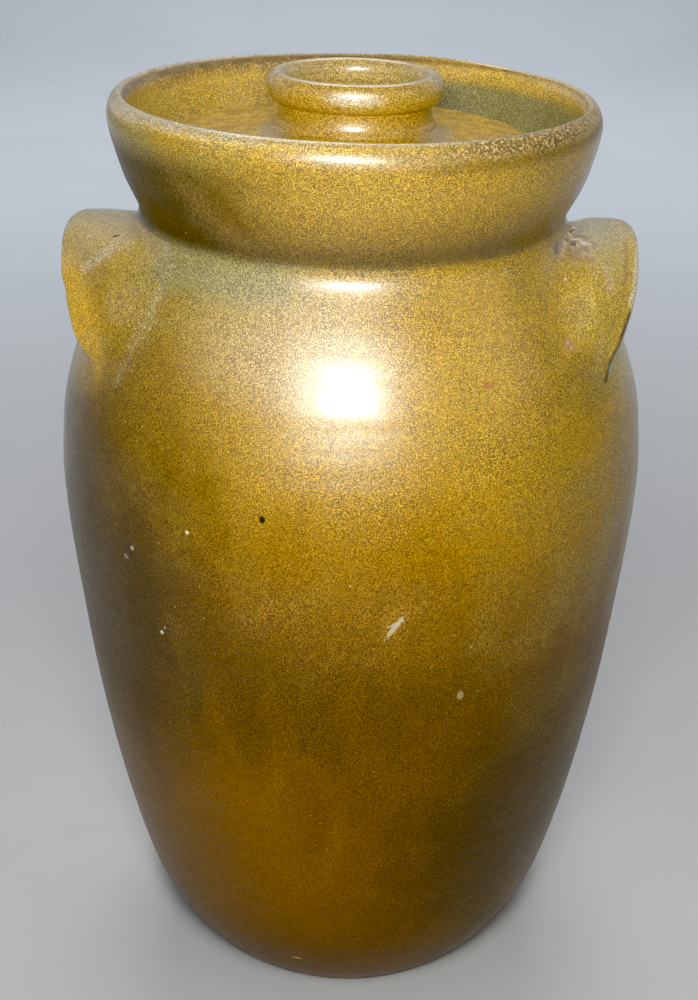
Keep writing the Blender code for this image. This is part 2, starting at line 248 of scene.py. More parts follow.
# --------------------------------------------------------------------------
# Shader nodes as arithmetic
# --------------------------------------------------------------------------
class Field:
    """Output socket of a shader node; arithmetic on it adds Math nodes."""

    def __init__(self, socket):
        self.socket = socket

    def __add__(self, other):
        return calc("ADD", self, other)

    def __radd__(self, other):
        return calc("ADD", other, self)

    def __sub__(self, other):
        return calc("SUBTRACT", self, other)

    def __rsub__(self, other):
        return calc("SUBTRACT", other, self)

    def __mul__(self, other):
        return calc("MULTIPLY", self, other)

    def __truediv__(self, other):
        return calc("DIVIDE", self, other)


def fill(node, inputs):
    """Links or sets the node's inputs, given by name or index."""
    for key, value in inputs.items():
        socket = node.inputs[key]
        if isinstance(value, Field):
            node.id_data.links.new(value.socket, socket)
        elif hasattr(value, "__len__") and len(value) == 3 and len(socket.default_value) == 4:
            socket.default_value = (*value, 1.0)
        else:
            socket.default_value = value


def add_node(kind, inputs, **settings):
    """Adds a node beside its Field inputs and returns its outputs as Fields."""
    tree = next(v.socket.id_data for v in inputs.values() if isinstance(v, Field))
    node = tree.nodes.new(kind)
    for key, value in settings.items():
        setattr(node, key, value)
    fill(node, inputs)
    return [Field(socket) for socket in node.outputs]


def calc(operation, *values, clamp=False):
    return add_node("ShaderNodeMath", dict(enumerate(values)),
                    operation=operation, use_clamp=clamp)[0]


def maximum(first, second):
    return calc("MAXIMUM", first, second)


def vector(operation, *values):
    return add_node("ShaderNodeVectorMath", dict(enumerate(values)), operation=operation)


def scaled(vector_value, scale):
    return add_node("ShaderNodeVectorMath", {0: vector_value, "Scale": scale},
                    operation="SCALE")[0]


def map_range(value, over, to, interpolation):
    return add_node("ShaderNodeMapRange", dict(enumerate((value, *over, *to))),
                    interpolation_type=interpolation)[0]


def step(value, over, to=(0.0, 1.0)):
    """Eases between the two results as the value crosses the span."""
    return map_range(value, over, to, "SMOOTHSTEP")


def linear(value, over=(0.0, 1.0), to=(0.0, 1.0)):
    return map_range(value, over, to, "LINEAR")


def mix(factor, first, second, blend="MIX"):
    return add_node("ShaderNodeMix", {0: factor, 6: first, 7: second},
                    data_type="RGBA", blend_type=blend)[2]


def tint(base, colour, mask, strength=None):
    """Lays a colour over the base where the mask is 1."""
    if strength is not None:
        mask = mask * strength
    return mix(mask, base, colour)


def noise_outputs(position, scale, detail, rough):
    return add_node("ShaderNodeTexNoise", {"Vector": position, "Scale": scale,
                                           "Detail": detail, "Roughness": rough})


def noise(position, scale, detail=2.0, rough=0.5):
    return noise_outputs(position, scale, detail, rough)[0]


def cells(position, scale):
    """Distance to the nearest cell centre, and two random values of the cell."""
    distance, colour = add_node("ShaderNodeTexVoronoi",
                                {"Vector": position, "Scale": scale}, feature="F1")[:2]
    return distance, *split(colour)[:2]


def split(vector_value):
    return add_node("ShaderNodeSeparateXYZ", {0: vector_value})


def axis_distance(x, y):
    return calc("SQRT", x * x + y * y)


def blob(position, centre, size, soft=0.35, wobble=None, turn=None):
    """1 inside a small soft ellipsoid, 0 outside; turn is degrees about Y."""
    offset = vector("SUBTRACT", position, centre)[0]
    if turn is not None:
        offset = add_node("ShaderNodeVectorRotate",
                          {"Vector": offset, "Axis": (0.0, 1.0, 0.0),
                           "Angle": math.radians(turn)}, rotation_type="AXIS_ANGLE")[0]
    distance = vector("LENGTH", vector("DIVIDE", offset, size)[0])[1]
    if wobble is not None:
        distance = distance + wobble
    return step(distance, over=(1.0 - soft, 1.0 + soft), to=(1.0, 0.0))


def stroke(position, points, width, soft=0.6, wobble=None):
    """1 along a chain of straight strokes of a given half width."""
    nearest = None
    for start, end in zip(points, points[1:]):
        span = Vector(end) - Vector(start)
        offset = vector("SUBTRACT", position, tuple(Vector(start)))[0]
        share = calc("DIVIDE", vector("DOT_PRODUCT", offset, tuple(span))[1],
                     span.length_squared, clamp=True)
        foot_point = scaled(tuple(span), share)
        distance = vector("LENGTH", vector("SUBTRACT", offset, foot_point)[0])[1]
        nearest = distance if nearest is None else calc("MINIMUM", nearest, distance)
    nearest = nearest / width
    if wobble is not None:
        nearest = nearest + wobble
    return step(nearest, over=(1.0 - soft, 1.0 + soft), to=(1.0, 0.0))


def paint(base, position, make_mask, rows):
    """Tints the base row by row. A row is the arguments of make_mask after
    the position, then strength and colour."""
    for *shape, strength, colour in rows:
        base = tint(base, colour, make_mask(position, *shape), strength)
    return base


def bump(height, strength):
    return add_node("ShaderNodeBump",
                    {"Strength": strength, "Distance": 1.0, "Height": height})[0]


def new_material(name):
    """Material with only an output node."""
    material = bpy.data.materials.new(name)
    material.use_nodes = True
    nodes = material.node_tree.nodes
    nodes.clear()
    return material, nodes, nodes.new("ShaderNodeOutputMaterial")


def object_position(nodes):
    return Field(nodes.new("ShaderNodeTexCoord").outputs["Object"])


def principled(name):
    material, nodes, output = new_material(name)
    shader = nodes.new("ShaderNodeBsdfPrincipled")
    fill(output, {"Surface": Field(shader.outputs[0])})
    return material, shader, object_position(nodes)


# --------------------------------------------------------------------------
# Glaze: speckled ash over iron-bearing stoneware
# --------------------------------------------------------------------------
SPECK_DARK = 0.95             # strength of the dark iron points
SPECK_PALE = 0.70             # strength of the pale ash points
COAT = 0.85                   # mean weight of the clear coat
# ground colour by height: position over 0 to 0.4 m, colour
GROUND_STOPS = (
    (0.000, (0.120, 0.046, 0.0010)), (0.070, (0.143, 0.060, 0.0010)),
    (0.160, (0.218, 0.090, 0.0010)), (0.330, (0.262, 0.112, 0.0010)),
    (0.420, (0.245, 0.112, 0.0012)), (0.500, (0.240, 0.116, 0.0018)),
    (0.560, (0.260, 0.130, 0.0032)), (0.610, (0.330, 0.176, 0.0065)),
    (0.670, (0.430, 0.246, 0.0150)), (0.780, (0.500, 0.300, 0.0260)),
    (0.860, (0.470, 0.285, 0.0280)), (1.000, (0.470, 0.285, 0.0280)),
)
# small spots on body and lugs, some of them painted glints and painted shade: centre, size,
# colour
SPOTS_AND_PAINTED_LIGHT = (
    ((-0.0697, -0.0947, 0.2013), 0.0013, (0.74, 0.70, 0.52)),
    ((-0.0683, -0.0960, 0.2039), 0.0010, (0.74, 0.70, 0.52)),
    ((-0.0798, -0.0883, 0.2333), 0.0012, (0.56, 0.45, 0.28)),
    ((-0.0823, -0.0859, 0.2286), 0.0013, (0.50, 0.38, 0.22)),
    ((-0.0573, -0.1037, 0.2482), 0.0008, (0.80, 0.70, 0.46)),
    ((0.0765, -0.0517, 0.3252), 0.0010, (0.85, 0.80, 0.62)),
    # painted glints on the blister
    ((0.0768, -0.0668, 0.3066), 0.0009, (0.90, 0.80, 0.68)),
    ((0.0782, -0.0655, 0.3046), 0.0007, (0.80, 0.66, 0.50)),
    # painted highlights on the tops of the clay crumbs by the right lug's neck
    ((0.0846, -0.0110, 0.3340), 0.0014, (0.93, 0.88, 0.74)),
    ((0.0848, -0.0165, 0.3340), 0.0011, (0.90, 0.82, 0.66)),
    ((0.0815, -0.0215, 0.3342), 0.0013, (0.85, 0.72, 0.52)),
    # painted shade between those crumbs
    ((0.0795, -0.0285, 0.3336), 0.0010, (0.10, 0.06, 0.03)),
    ((0.0819, -0.0322, 0.3322), 0.0013, (0.16, 0.10, 0.04)),
    ((-0.0167, -0.1167, 0.2038), 0.0009, (0.03, 0.02, 0.01)),
    ((-0.0229, -0.1157, 0.2043), 0.0008, (0.03, 0.02, 0.01)),
    ((-0.0429, -0.1031, 0.1364), 0.0008, (0.03, 0.02, 0.01)),
    ((0.0668, -0.0989, 0.2233), 0.0009, (0.62, 0.55, 0.33)),
    ((0.0550, -0.1020, 0.1560), 0.0010, (0.85, 0.82, 0.68)),
    ((0.0430, -0.1040, 0.1250), 0.0007, (0.80, 0.74, 0.50)),
)


def glaze_fields(position):
    """Position and slow noises of a glaze. A sway is a noise centred on 0."""
    x, y, z = split(position)
    big = noise(position, scale=10.0, detail=2.0, rough=0.55)
    mid = noise(position, scale=42.0, detail=3.0, rough=0.62)
    run = noise(vector("MULTIPLY", position, (1.0, 1.0, 0.20))[0],
                scale=62.0, detail=3.0, rough=0.6)
    fine = noise(position, scale=170.0, detail=2.0, rough=0.6)
    big_sway, mid_sway, run_sway = big - 0.5, mid - 0.5, run - 0.5
    return SimpleNamespace(
        position=position, x=x, y=y, z=z, mid=mid, run=run, fine=fine,
        big_sway=big_sway, mid_sway=mid_sway, run_sway=run_sway, fine_sway=fine - 0.5,
        level=z + (big_sway * 0.050 + (run_sway * 0.030 + mid_sway * 0.016)))


def ground_colour(field):
    """Ochre above, amber below, with warmer and greener patches."""
    base = add_node("ShaderNodeValToRGB", {0: linear(field.level, over=(0.0, 0.400))})[0]
    ramp = base.socket.node.color_ramp
    ramp.interpolation = "LINEAR"
    while len(ramp.elements) < len(GROUND_STOPS):
        ramp.elements.new(0.5)
    for element, (place, colour) in zip(ramp.elements, GROUND_STOPS):
        element.position = place
        element.color = (*colour, 1.0)
    warm = step(field.mid, over=(0.52, 0.74)) * step(field.z, over=(0.14, 0.24))
    base = tint(base, (0.430, 0.222, 0.012), warm, strength=0.40)
    green = (step(field.x, over=(0.015, 0.100))
             * step(field.mid + field.big_sway * 0.6, over=(0.36, 0.62)))
    return tint(base, (0.290, 0.196, 0.020), green, strength=0.55)


def smoke_mask(field):
    """Smoky zones: a band low on the belly, the lower right, the left flank
    and the lower front."""
    position, mid_sway, run_sway = field.position, field.mid_sway, field.run_sway
    wander = run_sway * 0.060 + field.big_sway * 0.040
    band_z = field.z + (wander + field.x * 0.22)
    band = step(band_z, over=(0.122, 0.168)) * step(band_z, over=(0.240, 0.186))
    band = band * step(field.run, over=(0.22, 0.58), to=(0.45, 1.0))
    lower_right = blob(position, centre=(0.072, -0.080, 0.104), size=(0.060, 0.090, 0.082),
                       soft=0.75, wobble=mid_sway * 0.7 + run_sway * 0.5)
    lower_front = blob(position, centre=(0.012, -0.113, 0.148), size=(0.034, 0.060, 0.044),
                       soft=0.7, wobble=run_sway * 1.2)
    left_flank = blob(position, centre=(-0.098, -0.064, 0.205), size=(0.050, 0.080, 0.072),
                      soft=0.62, wobble=mid_sway * 1.3)
    smoke = maximum(maximum(band * 0.64, lower_right), left_flank)
    return maximum(smoke, lower_front * 0.50)


def grain_fields(field, smoke):
    """Curdled grain: its noise, its amount, its dark points, and the
    upper part of the crock where it is strongest."""
    jitter = noise_outputs(field.position, scale=1100.0, detail=1.0, rough=0.5)[1]
    jitter = scaled(vector("SUBTRACT", jitter, (0.5, 0.5, 0.5))[0], 0.0003)
    warped = vector("ADD", field.position, jitter)[0]
    grain = noise(warped, scale=2550.0, detail=1.0, rough=0.5)
    distance, chance, _ = cells(warped, scale=1750.0)
    points = step(distance, over=(0.52, 0.26)) * step(chance, over=(0.40, 0.52))
    upper = step(field.z, over=(0.130, 0.240))
    amount = calc("MINIMUM", linear(upper, to=(0.66, 0.97)) + smoke * 0.40, 1.0)
    amount = amount * linear(field.mid, over=(0.30, 0.70), to=(0.75, 1.05))
    dark = maximum(step(grain, over=(0.520, 0.420)) * 0.72, points) * amount
    return grain, amount, dark, upper


def shoulder_colours(base, field):
    """Colours under the collar, with painted shade in the crease and painted highlight haze at
    the front.
    """
    x, z, mid, mid_sway = field.x, field.z, field.mid, field.mid_sway
    # grey-green where the glaze pools
    pool_z = z + mid_sway * 0.006
    pool = step(pool_z, over=(0.3190, 0.3300)) * step(pool_z, over=(0.3430, 0.3390))
    pool = pool * maximum(step(x, over=(0.000, -0.034)), step(mid, over=(0.50, 0.72)) * 0.25)
    base = tint(base, (0.300, 0.280, 0.125), pool, strength=0.86)
    # a greenish tinge on the left shoulder
    tinge = (step(z, over=(0.296, 0.325)) * step(x, over=(-0.020, -0.060))
             * step(mid, over=(0.30, 0.60)))
    base = tint(base, (0.400, 0.330, 0.090), tinge, strength=0.50)
    # painted shade in the crease under the collar
    crease_z = z + mid_sway * 0.002
    painted_crease_shade = step(crease_z, over=(0.3355, 0.3400)) * step(crease_z, over=(0.3490, 0.3415))
    painted_crease_shade = painted_crease_shade * step(x, over=(-0.055, 0.010), to=(0.50, 0.58))
    base = tint(base, (0.105, 0.070, 0.0090), painted_crease_shade)
    # pale area at the front, partly a matte bloom of the glaze and partly painted highlight
    # haze round the lamp's reflection
    bloom_and_highlight_haze = blob(field.position, centre=(-0.0150, -0.0900, 0.3110),
                 size=(0.0300, 0.0300, 0.0180), soft=0.60, wobble=mid_sway * 0.6)
    return tint(base, (0.640, 0.560, 0.430), bloom_and_highlight_haze, strength=0.30)


def ear_colours(base, field):
    """Colours of both lugs and of the wall beside them, with painted highlights and painted
    shade on the lugs.
    """
    position, z, fine_sway, mid_sway = (field.position, field.z, field.fine_sway,
                                        field.mid_sway)
    ear_left = blob(position, centre=(-0.0960, -0.0300, 0.3140),
                    size=(0.0330, 0.0400, 0.0290), soft=0.50, wobble=mid_sway * 0.9)
    ear_right = blob(position, centre=(0.1000, -0.0300, 0.3120),
                     size=(0.0280, 0.0440, 0.0320), soft=0.35, wobble=mid_sway * 0.9)
    base = tint(base, (0.440, 0.265, 0.020), ear_left, strength=0.72)
    base = tint(base, (0.680, 0.460, 0.075), ear_right, strength=0.72)
    top = (step(z, over=(0.3245, 0.3335))
           * step(field.mid, over=(0.3, 0.6), to=(0.40, 0.80)))
    base = tint(base, (0.520, 0.430, 0.200), top * ear_right)
    base = tint(base, (0.660, 0.440, 0.110), top * ear_left)
    drag = ((noise(position, scale=520.0, detail=3.0, rough=0.70) - 0.5) * 5.0
            + mid_sway * 3.0)
    # points, half width, softness, wobble, strength, colour
    base = paint(base, position, stroke, (
        # pale smear down the body in front of the left lug
        (((-0.0668, -0.0513, 0.3348), (-0.0656, -0.0580, 0.3288), (-0.0689, -0.0616, 0.3215),
          (-0.0722, -0.0647, 0.3144), (-0.0748, -0.0669, 0.3080), (-0.0793, -0.0675, 0.2999),
          (-0.0853, -0.0667, 0.2895)),
         0.0024, 1.10, drag * 1.5, 0.30, (0.640, 0.550, 0.330)),
        # painted highlight streak along the fold of the left lug
        (((-0.0999, -0.0371, 0.3226), (-0.0930, -0.0388, 0.3278), (-0.0870, -0.0377, 0.3317)),
         0.0025, 0.95, drag * 0.7, 0.60, (0.640, 0.520, 0.330)),
        # short wipe on the right lug, a painted highlight band along its rolled edge and a
        # painted shade line just inside that band
        (((0.0951, -0.0427, 0.3195), (0.0935, -0.0375, 0.3262)),
         0.0020, 0.95, drag * 0.8, 0.45, (0.700, 0.560, 0.330)),
        (((0.1078, -0.0130, 0.3265), (0.1070, -0.0235, 0.3220), (0.1055, -0.0320, 0.3165),
          (0.1035, -0.0375, 0.3120)),
         0.0017, 0.4, fine_sway * 0.6, 0.80, (0.860, 0.720, 0.430)),
        (((0.1040, -0.0190, 0.3290), (0.1030, -0.0290, 0.3240), (0.1010, -0.0370, 0.3180)),
         0.0014, 0.5, fine_sway * 0.8, 0.50, (0.380, 0.175, 0.012))))
    radius = axis_distance(field.x, field.y)
    rim_gold = ear_left * step(radius, over=(0.1045, 0.1095)) * step(z, over=(0.3310, 0.3200))
    return tint(base, (0.820, 0.490, 0.050), rim_gold, strength=0.75)


def collar_colours(base, field):
    """Collar colours; also returns the rubbed lip and the dark left side."""
    position, x, y, z = field.position, field.x, field.y, field.z
    fine, fine_sway, mid_sway = field.fine, field.fine_sway, field.mid_sway
    radius = axis_distance(x, y)

    def through_wall(over):
        """Fades across the wall, which leans out 0.37 m per metre of rise."""
        return step(radius - (z - 0.3383) * 0.37, over=over)

    skid = stroke(position, ((-0.0611, -0.0679, 0.3670), (-0.0593, -0.0682, 0.3630),
                             (-0.0542, -0.0708, 0.3580), (-0.0491, -0.0730, 0.3532),
                             (-0.0440, -0.0750, 0.3490), (-0.0389, -0.0768, 0.3458)),
                  width=0.0042, soft=0.95,
                  wobble=(noise(position, scale=520.0, detail=3.0, rough=0.70) - 0.5) * 5.0)
    # outside: darker below and to the left, with a paler skid mark
    outside = through_wall((0.0760, 0.0775))
    shade = (step(z + mid_sway * 0.010, over=(0.3640, 0.3440))
             * (outside * step(z, over=(0.3365, 0.3415))))
    base = tint(base, (0.120, 0.066, 0.0030), shade, strength=0.66)
    dark_left = step(x + mid_sway * 0.030, over=(-0.010, -0.066)) * outside
    dark_left = dark_left * (step(z, over=(0.3770, 0.3640)) * step(z, over=(0.3365, 0.3415)))
    base = tint(base, (0.070, 0.042, 0.0032), dark_left, strength=0.86)
    base = tint(base, (0.260, 0.150, 0.034), skid, strength=0.55)
    # inside: grey-green on the right, bright elsewhere, golden at the back
    inside = through_wall((0.0775, 0.0760)) * step(z, over=(0.3808, 0.3795))
    celadon = inside * (step(x, over=(-0.004, 0.034)) * step(z, over=(0.3765, 0.3700)))
    base = tint(base, (0.330, 0.300, 0.120), celadon, strength=0.90)
    base = tint(base, (0.730, 0.490, 0.082), inside * (1.0 - celadon), strength=0.68)
    toast = inside * (step(z, over=(0.3700, 0.3760)) * step(y, over=(0.0, 0.05)))
    base = tint(base, (0.880, 0.590, 0.100), toast, strength=0.60)
    # the lip, where hands and lids have rubbed it
    lip = step(z + (fine_sway * 0.006 + mid_sway * 0.012), over=(0.3715, 0.3785))
    patches = noise(position, scale=26.0, detail=2.0, rough=0.5)
    front_patch = blob(position, centre=(0.066, -0.060, 0.379), size=(0.052, 0.046, 0.030),
                       soft=0.35, wobble=fine_sway * 0.8)
    back_patch = blob(position, centre=(-0.040, 0.072, 0.379), size=(0.075, 0.060, 0.030),
                      soft=0.45, wobble=fine_sway * 0.8)
    rub = lip * maximum(maximum(front_patch, back_patch * 0.9),
                        step(patches, over=(0.52, 0.66)) * 0.45)
    mottle = noise(position, scale=1050.0, detail=2.5, rough=0.75)
    rubbed = mix(step(mottle, over=(0.47, 0.61)), (0.130, 0.072, 0.016),
                 (0.640, 0.470, 0.190))
    base = tint(base, rubbed, rub, strength=0.88)
    # pale crest, and a dark line under the front patch
    crest = step(z, over=(0.3785, 0.3800)) * step(x, over=(0.030, -0.050))
    base = tint(base, (0.560, 0.470, 0.290),
                crest * step(fine, over=(0.3, 0.6), to=(0.25, 0.75)))
    under = step(z, over=(0.3690, 0.3728)) * step(z, over=(0.3765, 0.3735)) * front_patch
    base = tint(base, (0.130, 0.075, 0.012), under, strength=0.45)
    # glaze breaks thin and brown along the inner corner of the lip
    thin = step(radius, over=(0.0872, 0.0862)) * step(radius, over=(0.0846, 0.0856))
    thin = thin * step(z, over=(0.3775, 0.3795))
    base = tint(base, (0.190, 0.105, 0.030),
                thin * step(fine, over=(0.30, 0.55), to=(0.35, 0.85)))
    return base, rub, dark_left


def lid_colours(base, field):
    """Lid colours, with painted highlights and a painted sheen in the dish; also returns the
    mask of the plate outside the ring.
    """
    position, x, z, fine = field.position, field.x, field.z, field.fine
    radius = axis_distance(x, field.y)
    plate = step(z, over=(0.3700, 0.3680)) * step(radius, over=(0.0345, 0.0390))
    toast = mix(step(fine, over=(0.35, 0.65)), (0.520, 0.275, 0.008), (0.780, 0.485, 0.026))
    base = tint(base, toast, plate, strength=0.85)
    # the dish inside the ring, pale, partly its glaze and partly a painted sheen: its wall,
    # then its floor
    dish_floor = step(radius, over=(0.0262, 0.0240)) * step(z, over=(0.3740, 0.3715))
    dish_wall = step(radius, over=(0.0285, 0.0262)) * step(z, over=(0.3700, 0.3725))
    dish_wall = dish_wall * step(fine, over=(0.25, 0.55), to=(0.55, 1.0))
    base = tint(base, (0.600, 0.500, 0.270), dish_wall, strength=0.70)
    base = tint(base, (0.600, 0.500, 0.290), dish_floor, strength=0.80)
    # painted highlight on the front of the ring, brown wear on its crest
    painted_ring_highlight = blob(position, centre=(0.0, -0.0335, 0.3838), size=(0.0100, 0.0050, 0.0026),
                 soft=0.55, wobble=field.fine_sway * 0.8)
    base = tint(base, (0.900, 0.860, 0.760), painted_ring_highlight, strength=0.60)
    worn_crest = step(z, over=(0.3845, 0.3880)) * step(fine, over=(0.42, 0.60))
    base = tint(base, (0.250, 0.120, 0.020), worn_crest, strength=0.55)
    # pale wear on both sides of the ring
    mottle = noise(position, scale=380.0, detail=2.0, rough=0.7)
    sides = maximum(step(x, over=(0.016, 0.030)), step(x, over=(-0.016, -0.030)))
    worn_sides = sides * step(z, over=(0.379, 0.384)) * step(mottle, over=(0.47, 0.58))
    base = tint(base, (0.620, 0.440, 0.170), worn_sides, strength=0.60)
    # lighter from z 0.3745 upward
    base = tint(base, (0.680, 0.460, 0.090), step(z, over=(0.3745, 0.3785)), strength=0.35)
    # painted highlight at the front of the collar's lip
    painted_lip_highlight = blob(position, centre=(0.0005, -0.0912, 0.3783), size=(0.0215, 0.0060, 0.0021),
                 soft=0.60, wobble=field.fine_sway * 0.5)
    return tint(base, (0.900, 0.860, 0.740), painted_lip_highlight, strength=0.45), plate


def lug_neck_marks(base, field):
    """Bare patch where the right lug meets the neck, a painted shadow line beside it, and small
    spots, some of them painted highlights and shade.
    """
    position, fine_sway = field.position, field.fine_sway
    bare = blob(position, centre=(0.0808, -0.0265, 0.3325), size=(0.0085, 0.0165, 0.0070),
                soft=0.45, wobble=fine_sway * 1.8)
    lumps = noise(position, scale=240.0, detail=2.5, rough=0.60)
    pinkish = mix(step(lumps, over=(0.40, 0.56)), (0.300, 0.170, 0.062),
                  (0.600, 0.410, 0.215))
    pinkish = mix(step(lumps, over=(0.57, 0.66)), pinkish, (0.860, 0.760, 0.560))
    base = tint(base, pinkish, bare, strength=0.88)
    shadow = stroke(position, ((0.0737, -0.0405, 0.3329), (0.0757, -0.0340, 0.3366),
                               (0.0795, -0.0220, 0.3362), (0.0815, -0.0100, 0.3360)),
                    width=0.0019, soft=0.9, wobble=fine_sway * 1.2)
    base = tint(base, (0.060, 0.040, 0.020), shadow, strength=0.70)
    pit = blob(position, centre=(-0.0879, -0.0311, 0.3335), size=(0.0017, 0.0009, 0.0009),
               soft=0.3, wobble=fine_sway)
    base = tint(base, (0.012, 0.008, 0.006), pit)
    scratch = stroke(position, ((0.1075, -0.0500, 0.2290), (0.0994, -0.0650, 0.2160),
                                (0.0869, -0.0812, 0.2115)), width=0.0004)
    base = tint(base, (0.060, 0.040, 0.010), scratch, strength=0.6)
    for centre, size, colour in SPOTS_AND_PAINTED_LIGHT:
        spot = blob(position, centre, size=(size * 0.62, size * 2.0, size * 0.75),
                    soft=0.40, wobble=fine_sway * 2.6)
        base = tint(base, colour, spot, strength=0.85)
    return base


def lug_shadow_lines(base, field):
    """Painted shadow lines: under the free edge at the foot of the right lug, and in the gap
    between the left lug's top and the collar.
    """
    edge = field.fine_sway * 0.9
    # points, half width, softness, wobble, strength, colour
    return paint(base, field.position, stroke, (
        (((0.1035, -0.0395, 0.3085), (0.1008, -0.0445, 0.3030), (0.0978, -0.0485, 0.2972),
          (0.0955, -0.0522, 0.2930), (0.0938, -0.0560, 0.2885)),
         0.0011, 0.9, edge, 0.80, (0.035, 0.028, 0.012)),
        (((-0.0835, -0.0060, 0.3352), (-0.0819, -0.0145, 0.3365), (-0.0788, -0.0252, 0.3378),
          (-0.0759, -0.0329, 0.3385), (-0.0728, -0.0396, 0.3391)),
         0.0015, 0.9, edge, 0.62, (0.045, 0.042, 0.034))))


def body_marks(base, field):
    """Marks fired into the body."""
    position = field.position
    edge = field.fine_sway * 1.2
    brown_edge = (noise(position, scale=480.0) - 0.5) * 2.2
    # centre, size, softness, wobble, strength, colour
    base = paint(base, position, blob, (
        # black pit and brown stain, front left
        ((-0.0302, -0.1132, 0.2588), (0.0011, 0.0040, 0.0013), 0.25, edge,
         None, (0.012, 0.008, 0.006)),
        ((-0.0816, -0.0871, 0.2310), (0.0026, 0.0036, 0.0024), 0.40, brown_edge,
         0.75, (0.060, 0.028, 0.016))))
    # pale feather of two barbs
    ragged = (noise(position, scale=900.0) - 0.5) * 1.5
    feather = maximum(
        blob(position, centre=(0.0161, -0.1178, 0.2192), size=(0.0009, 0.0060, 0.0052),
             soft=0.3, wobble=ragged, turn=-33),
        blob(position, centre=(0.0166, -0.1178, 0.2208), size=(0.0007, 0.0060, 0.0030),
             soft=0.3, wobble=ragged, turn=-64))
    base = tint(base, (0.560, 0.500, 0.340), feather, strength=0.75)
    return paint(base, position, blob, (
        # pale oval, red dash, low fleck, blister
        ((0.0412, -0.1089, 0.1844), (0.0012, 0.0040, 0.0020), 0.25, None,
         0.75, (0.400, 0.310, 0.130)),
        ((0.0460, -0.0927, 0.3009), (0.0013, 0.0040, 0.0011), 0.3, edge,
         0.75, (0.380, 0.100, 0.020)),
        ((-0.0209, -0.0876, 0.0305), (0.0022, 0.0050, 0.0008), 0.3, None,
         0.8, (0.520, 0.400, 0.200)),
        ((0.0775, -0.0661, 0.3058), (0.0024, 0.0024, 0.0024), 0.30, edge,
         0.60, (0.430, 0.205, 0.100))))


def lessened(mask, to):
    """1 where the mask is 0, falling to a smaller factor where it is 1."""
    return linear(mask, to=(1.0, to))


def glaze(name, kind):
    """Speckled ash glaze of one kind of piece. Its pattern lives in the
    crock's own space, so it runs on from piece to piece."""
    material, shader, position = principled(name)
    field = glaze_fields(position)
    fine, fine_sway, level = field.fine, field.fine_sway, field.level
    on_wall = kind in ("crock", "lug")

    base = ground_colour(field)
    if not on_wall:
        base = mix(step(fine, over=(0.35, 0.75), to=(0.0, 0.20)), base,
                   (0.470, 0.290, 0.020))
    smoke = smoke_mask(field)
    if on_wall:
        base = tint(base, (0.058, 0.030, 0.0016), smoke, strength=0.86)
        base = tint(base, (0.095, 0.050, 0.0040), step(field.x, over=(-0.010, -0.105)),
                    strength=0.56)
    grain, amount, dark, upper = grain_fields(field, smoke)
    base = shoulder_colours(base, field)
    if on_wall:
        base = ear_colours(base, field)
    elif kind == "collar":
        base, rub, dark_left = collar_colours(base, field)
    elif kind == "lid":
        base, plate = lid_colours(base, field)
    else:
        base = tint(base, (0.210, 0.175, 0.070), mask=0.60)

    # the grain goes over every colour
    dark_points = dark * SPECK_DARK
    pale_points = step(grain, over=(0.530, 0.640)) * (amount * SPECK_PALE)
    if kind == "collar":
        keep = lessened(rub, to=0.45)
        dark_points, pale_points = dark_points * keep, pale_points * keep
    base = mix(dark_points, base, (0.13, 0.10, 0.07), "MULTIPLY")
    base = mix(pale_points, base, (2.05, 2.15, 2.40), "MULTIPLY")
    # scattered larger spots, dark and pale
    distance, dark_chance, pale_chance = cells(position, scale=310.0)
    spots = step(distance, over=(0.17, 0.08)) * step(dark_chance, over=(0.86, 0.93))
    base = tint(base, (0.050, 0.025, 0.006), spots, strength=0.65)
    flecks = step(distance, over=(0.15, 0.07)) * step(pale_chance, over=(0.940, 0.975))
    base = tint(base, (0.72, 0.58, 0.30), flecks * linear(upper, to=(0.25, 0.8)))

    if on_wall:
        base = lug_neck_marks(base, field)
    # painted shadow lines at the lugs
    if on_wall or kind == "collar":
        base = lug_shadow_lines(base, field)
    if on_wall:
        base = body_marks(base, field)

    # gloss: duller low down
    rough = 0.450 + fine_sway * 0.10 + dark * 0.05
    coat = linear(field.mid, over=(0.25, 0.75), to=(COAT * 0.8, COAT * 1.15))
    coat = coat * step(level, over=(0.150, 0.270), to=(0.30, 1.0))
    specular = step(level, over=(0.215, 0.305), to=(0.32, 0.95))
    if kind == "collar":
        rough = rough + rub * 0.15
        matt = lessened(dark_left, to=0.35)
        specular = specular * matt
        coat = coat * matt * lessened(rub, to=0.35)
    elif kind == "lid":
        specular = specular * lessened(plate, to=0.35)
        coat = coat * lessened(plate, to=0.15)
    elif kind == "crock":
        # glaze stops short of the foot, and the underside is bare
        foot = step(field.z + fine_sway * 0.003, over=(0.0046, 0.0032))
        bare = mix(field.mid, (0.230, 0.150, 0.085), (0.340, 0.250, 0.160))
        base = mix(foot, base, bare)
        rough = rough + foot * 0.4
        coat = coat * (1.0 - foot)

    # relief in metres: orange peel, sunken specks, slow waviness
    swell = noise(vector("MULTIPLY", position, (1.0, 1.0, 4.0))[0],
                  scale=36.0, detail=1.0, rough=0.5)
    relief = grain * 0.000035 + fine * 0.00010 - dark * 0.000020 + swell * 0.00022
    normal = bump(relief, strength=0.6)
    fill(shader, {"Base Color": base, "Roughness": rough, "IOR": 1.50,
                  "Specular IOR Level": specular, "Coat Weight": coat,
                  "Coat Roughness": 0.165, "Coat IOR": 1.5,
                  "Normal": normal, "Coat Normal": normal})
    return material


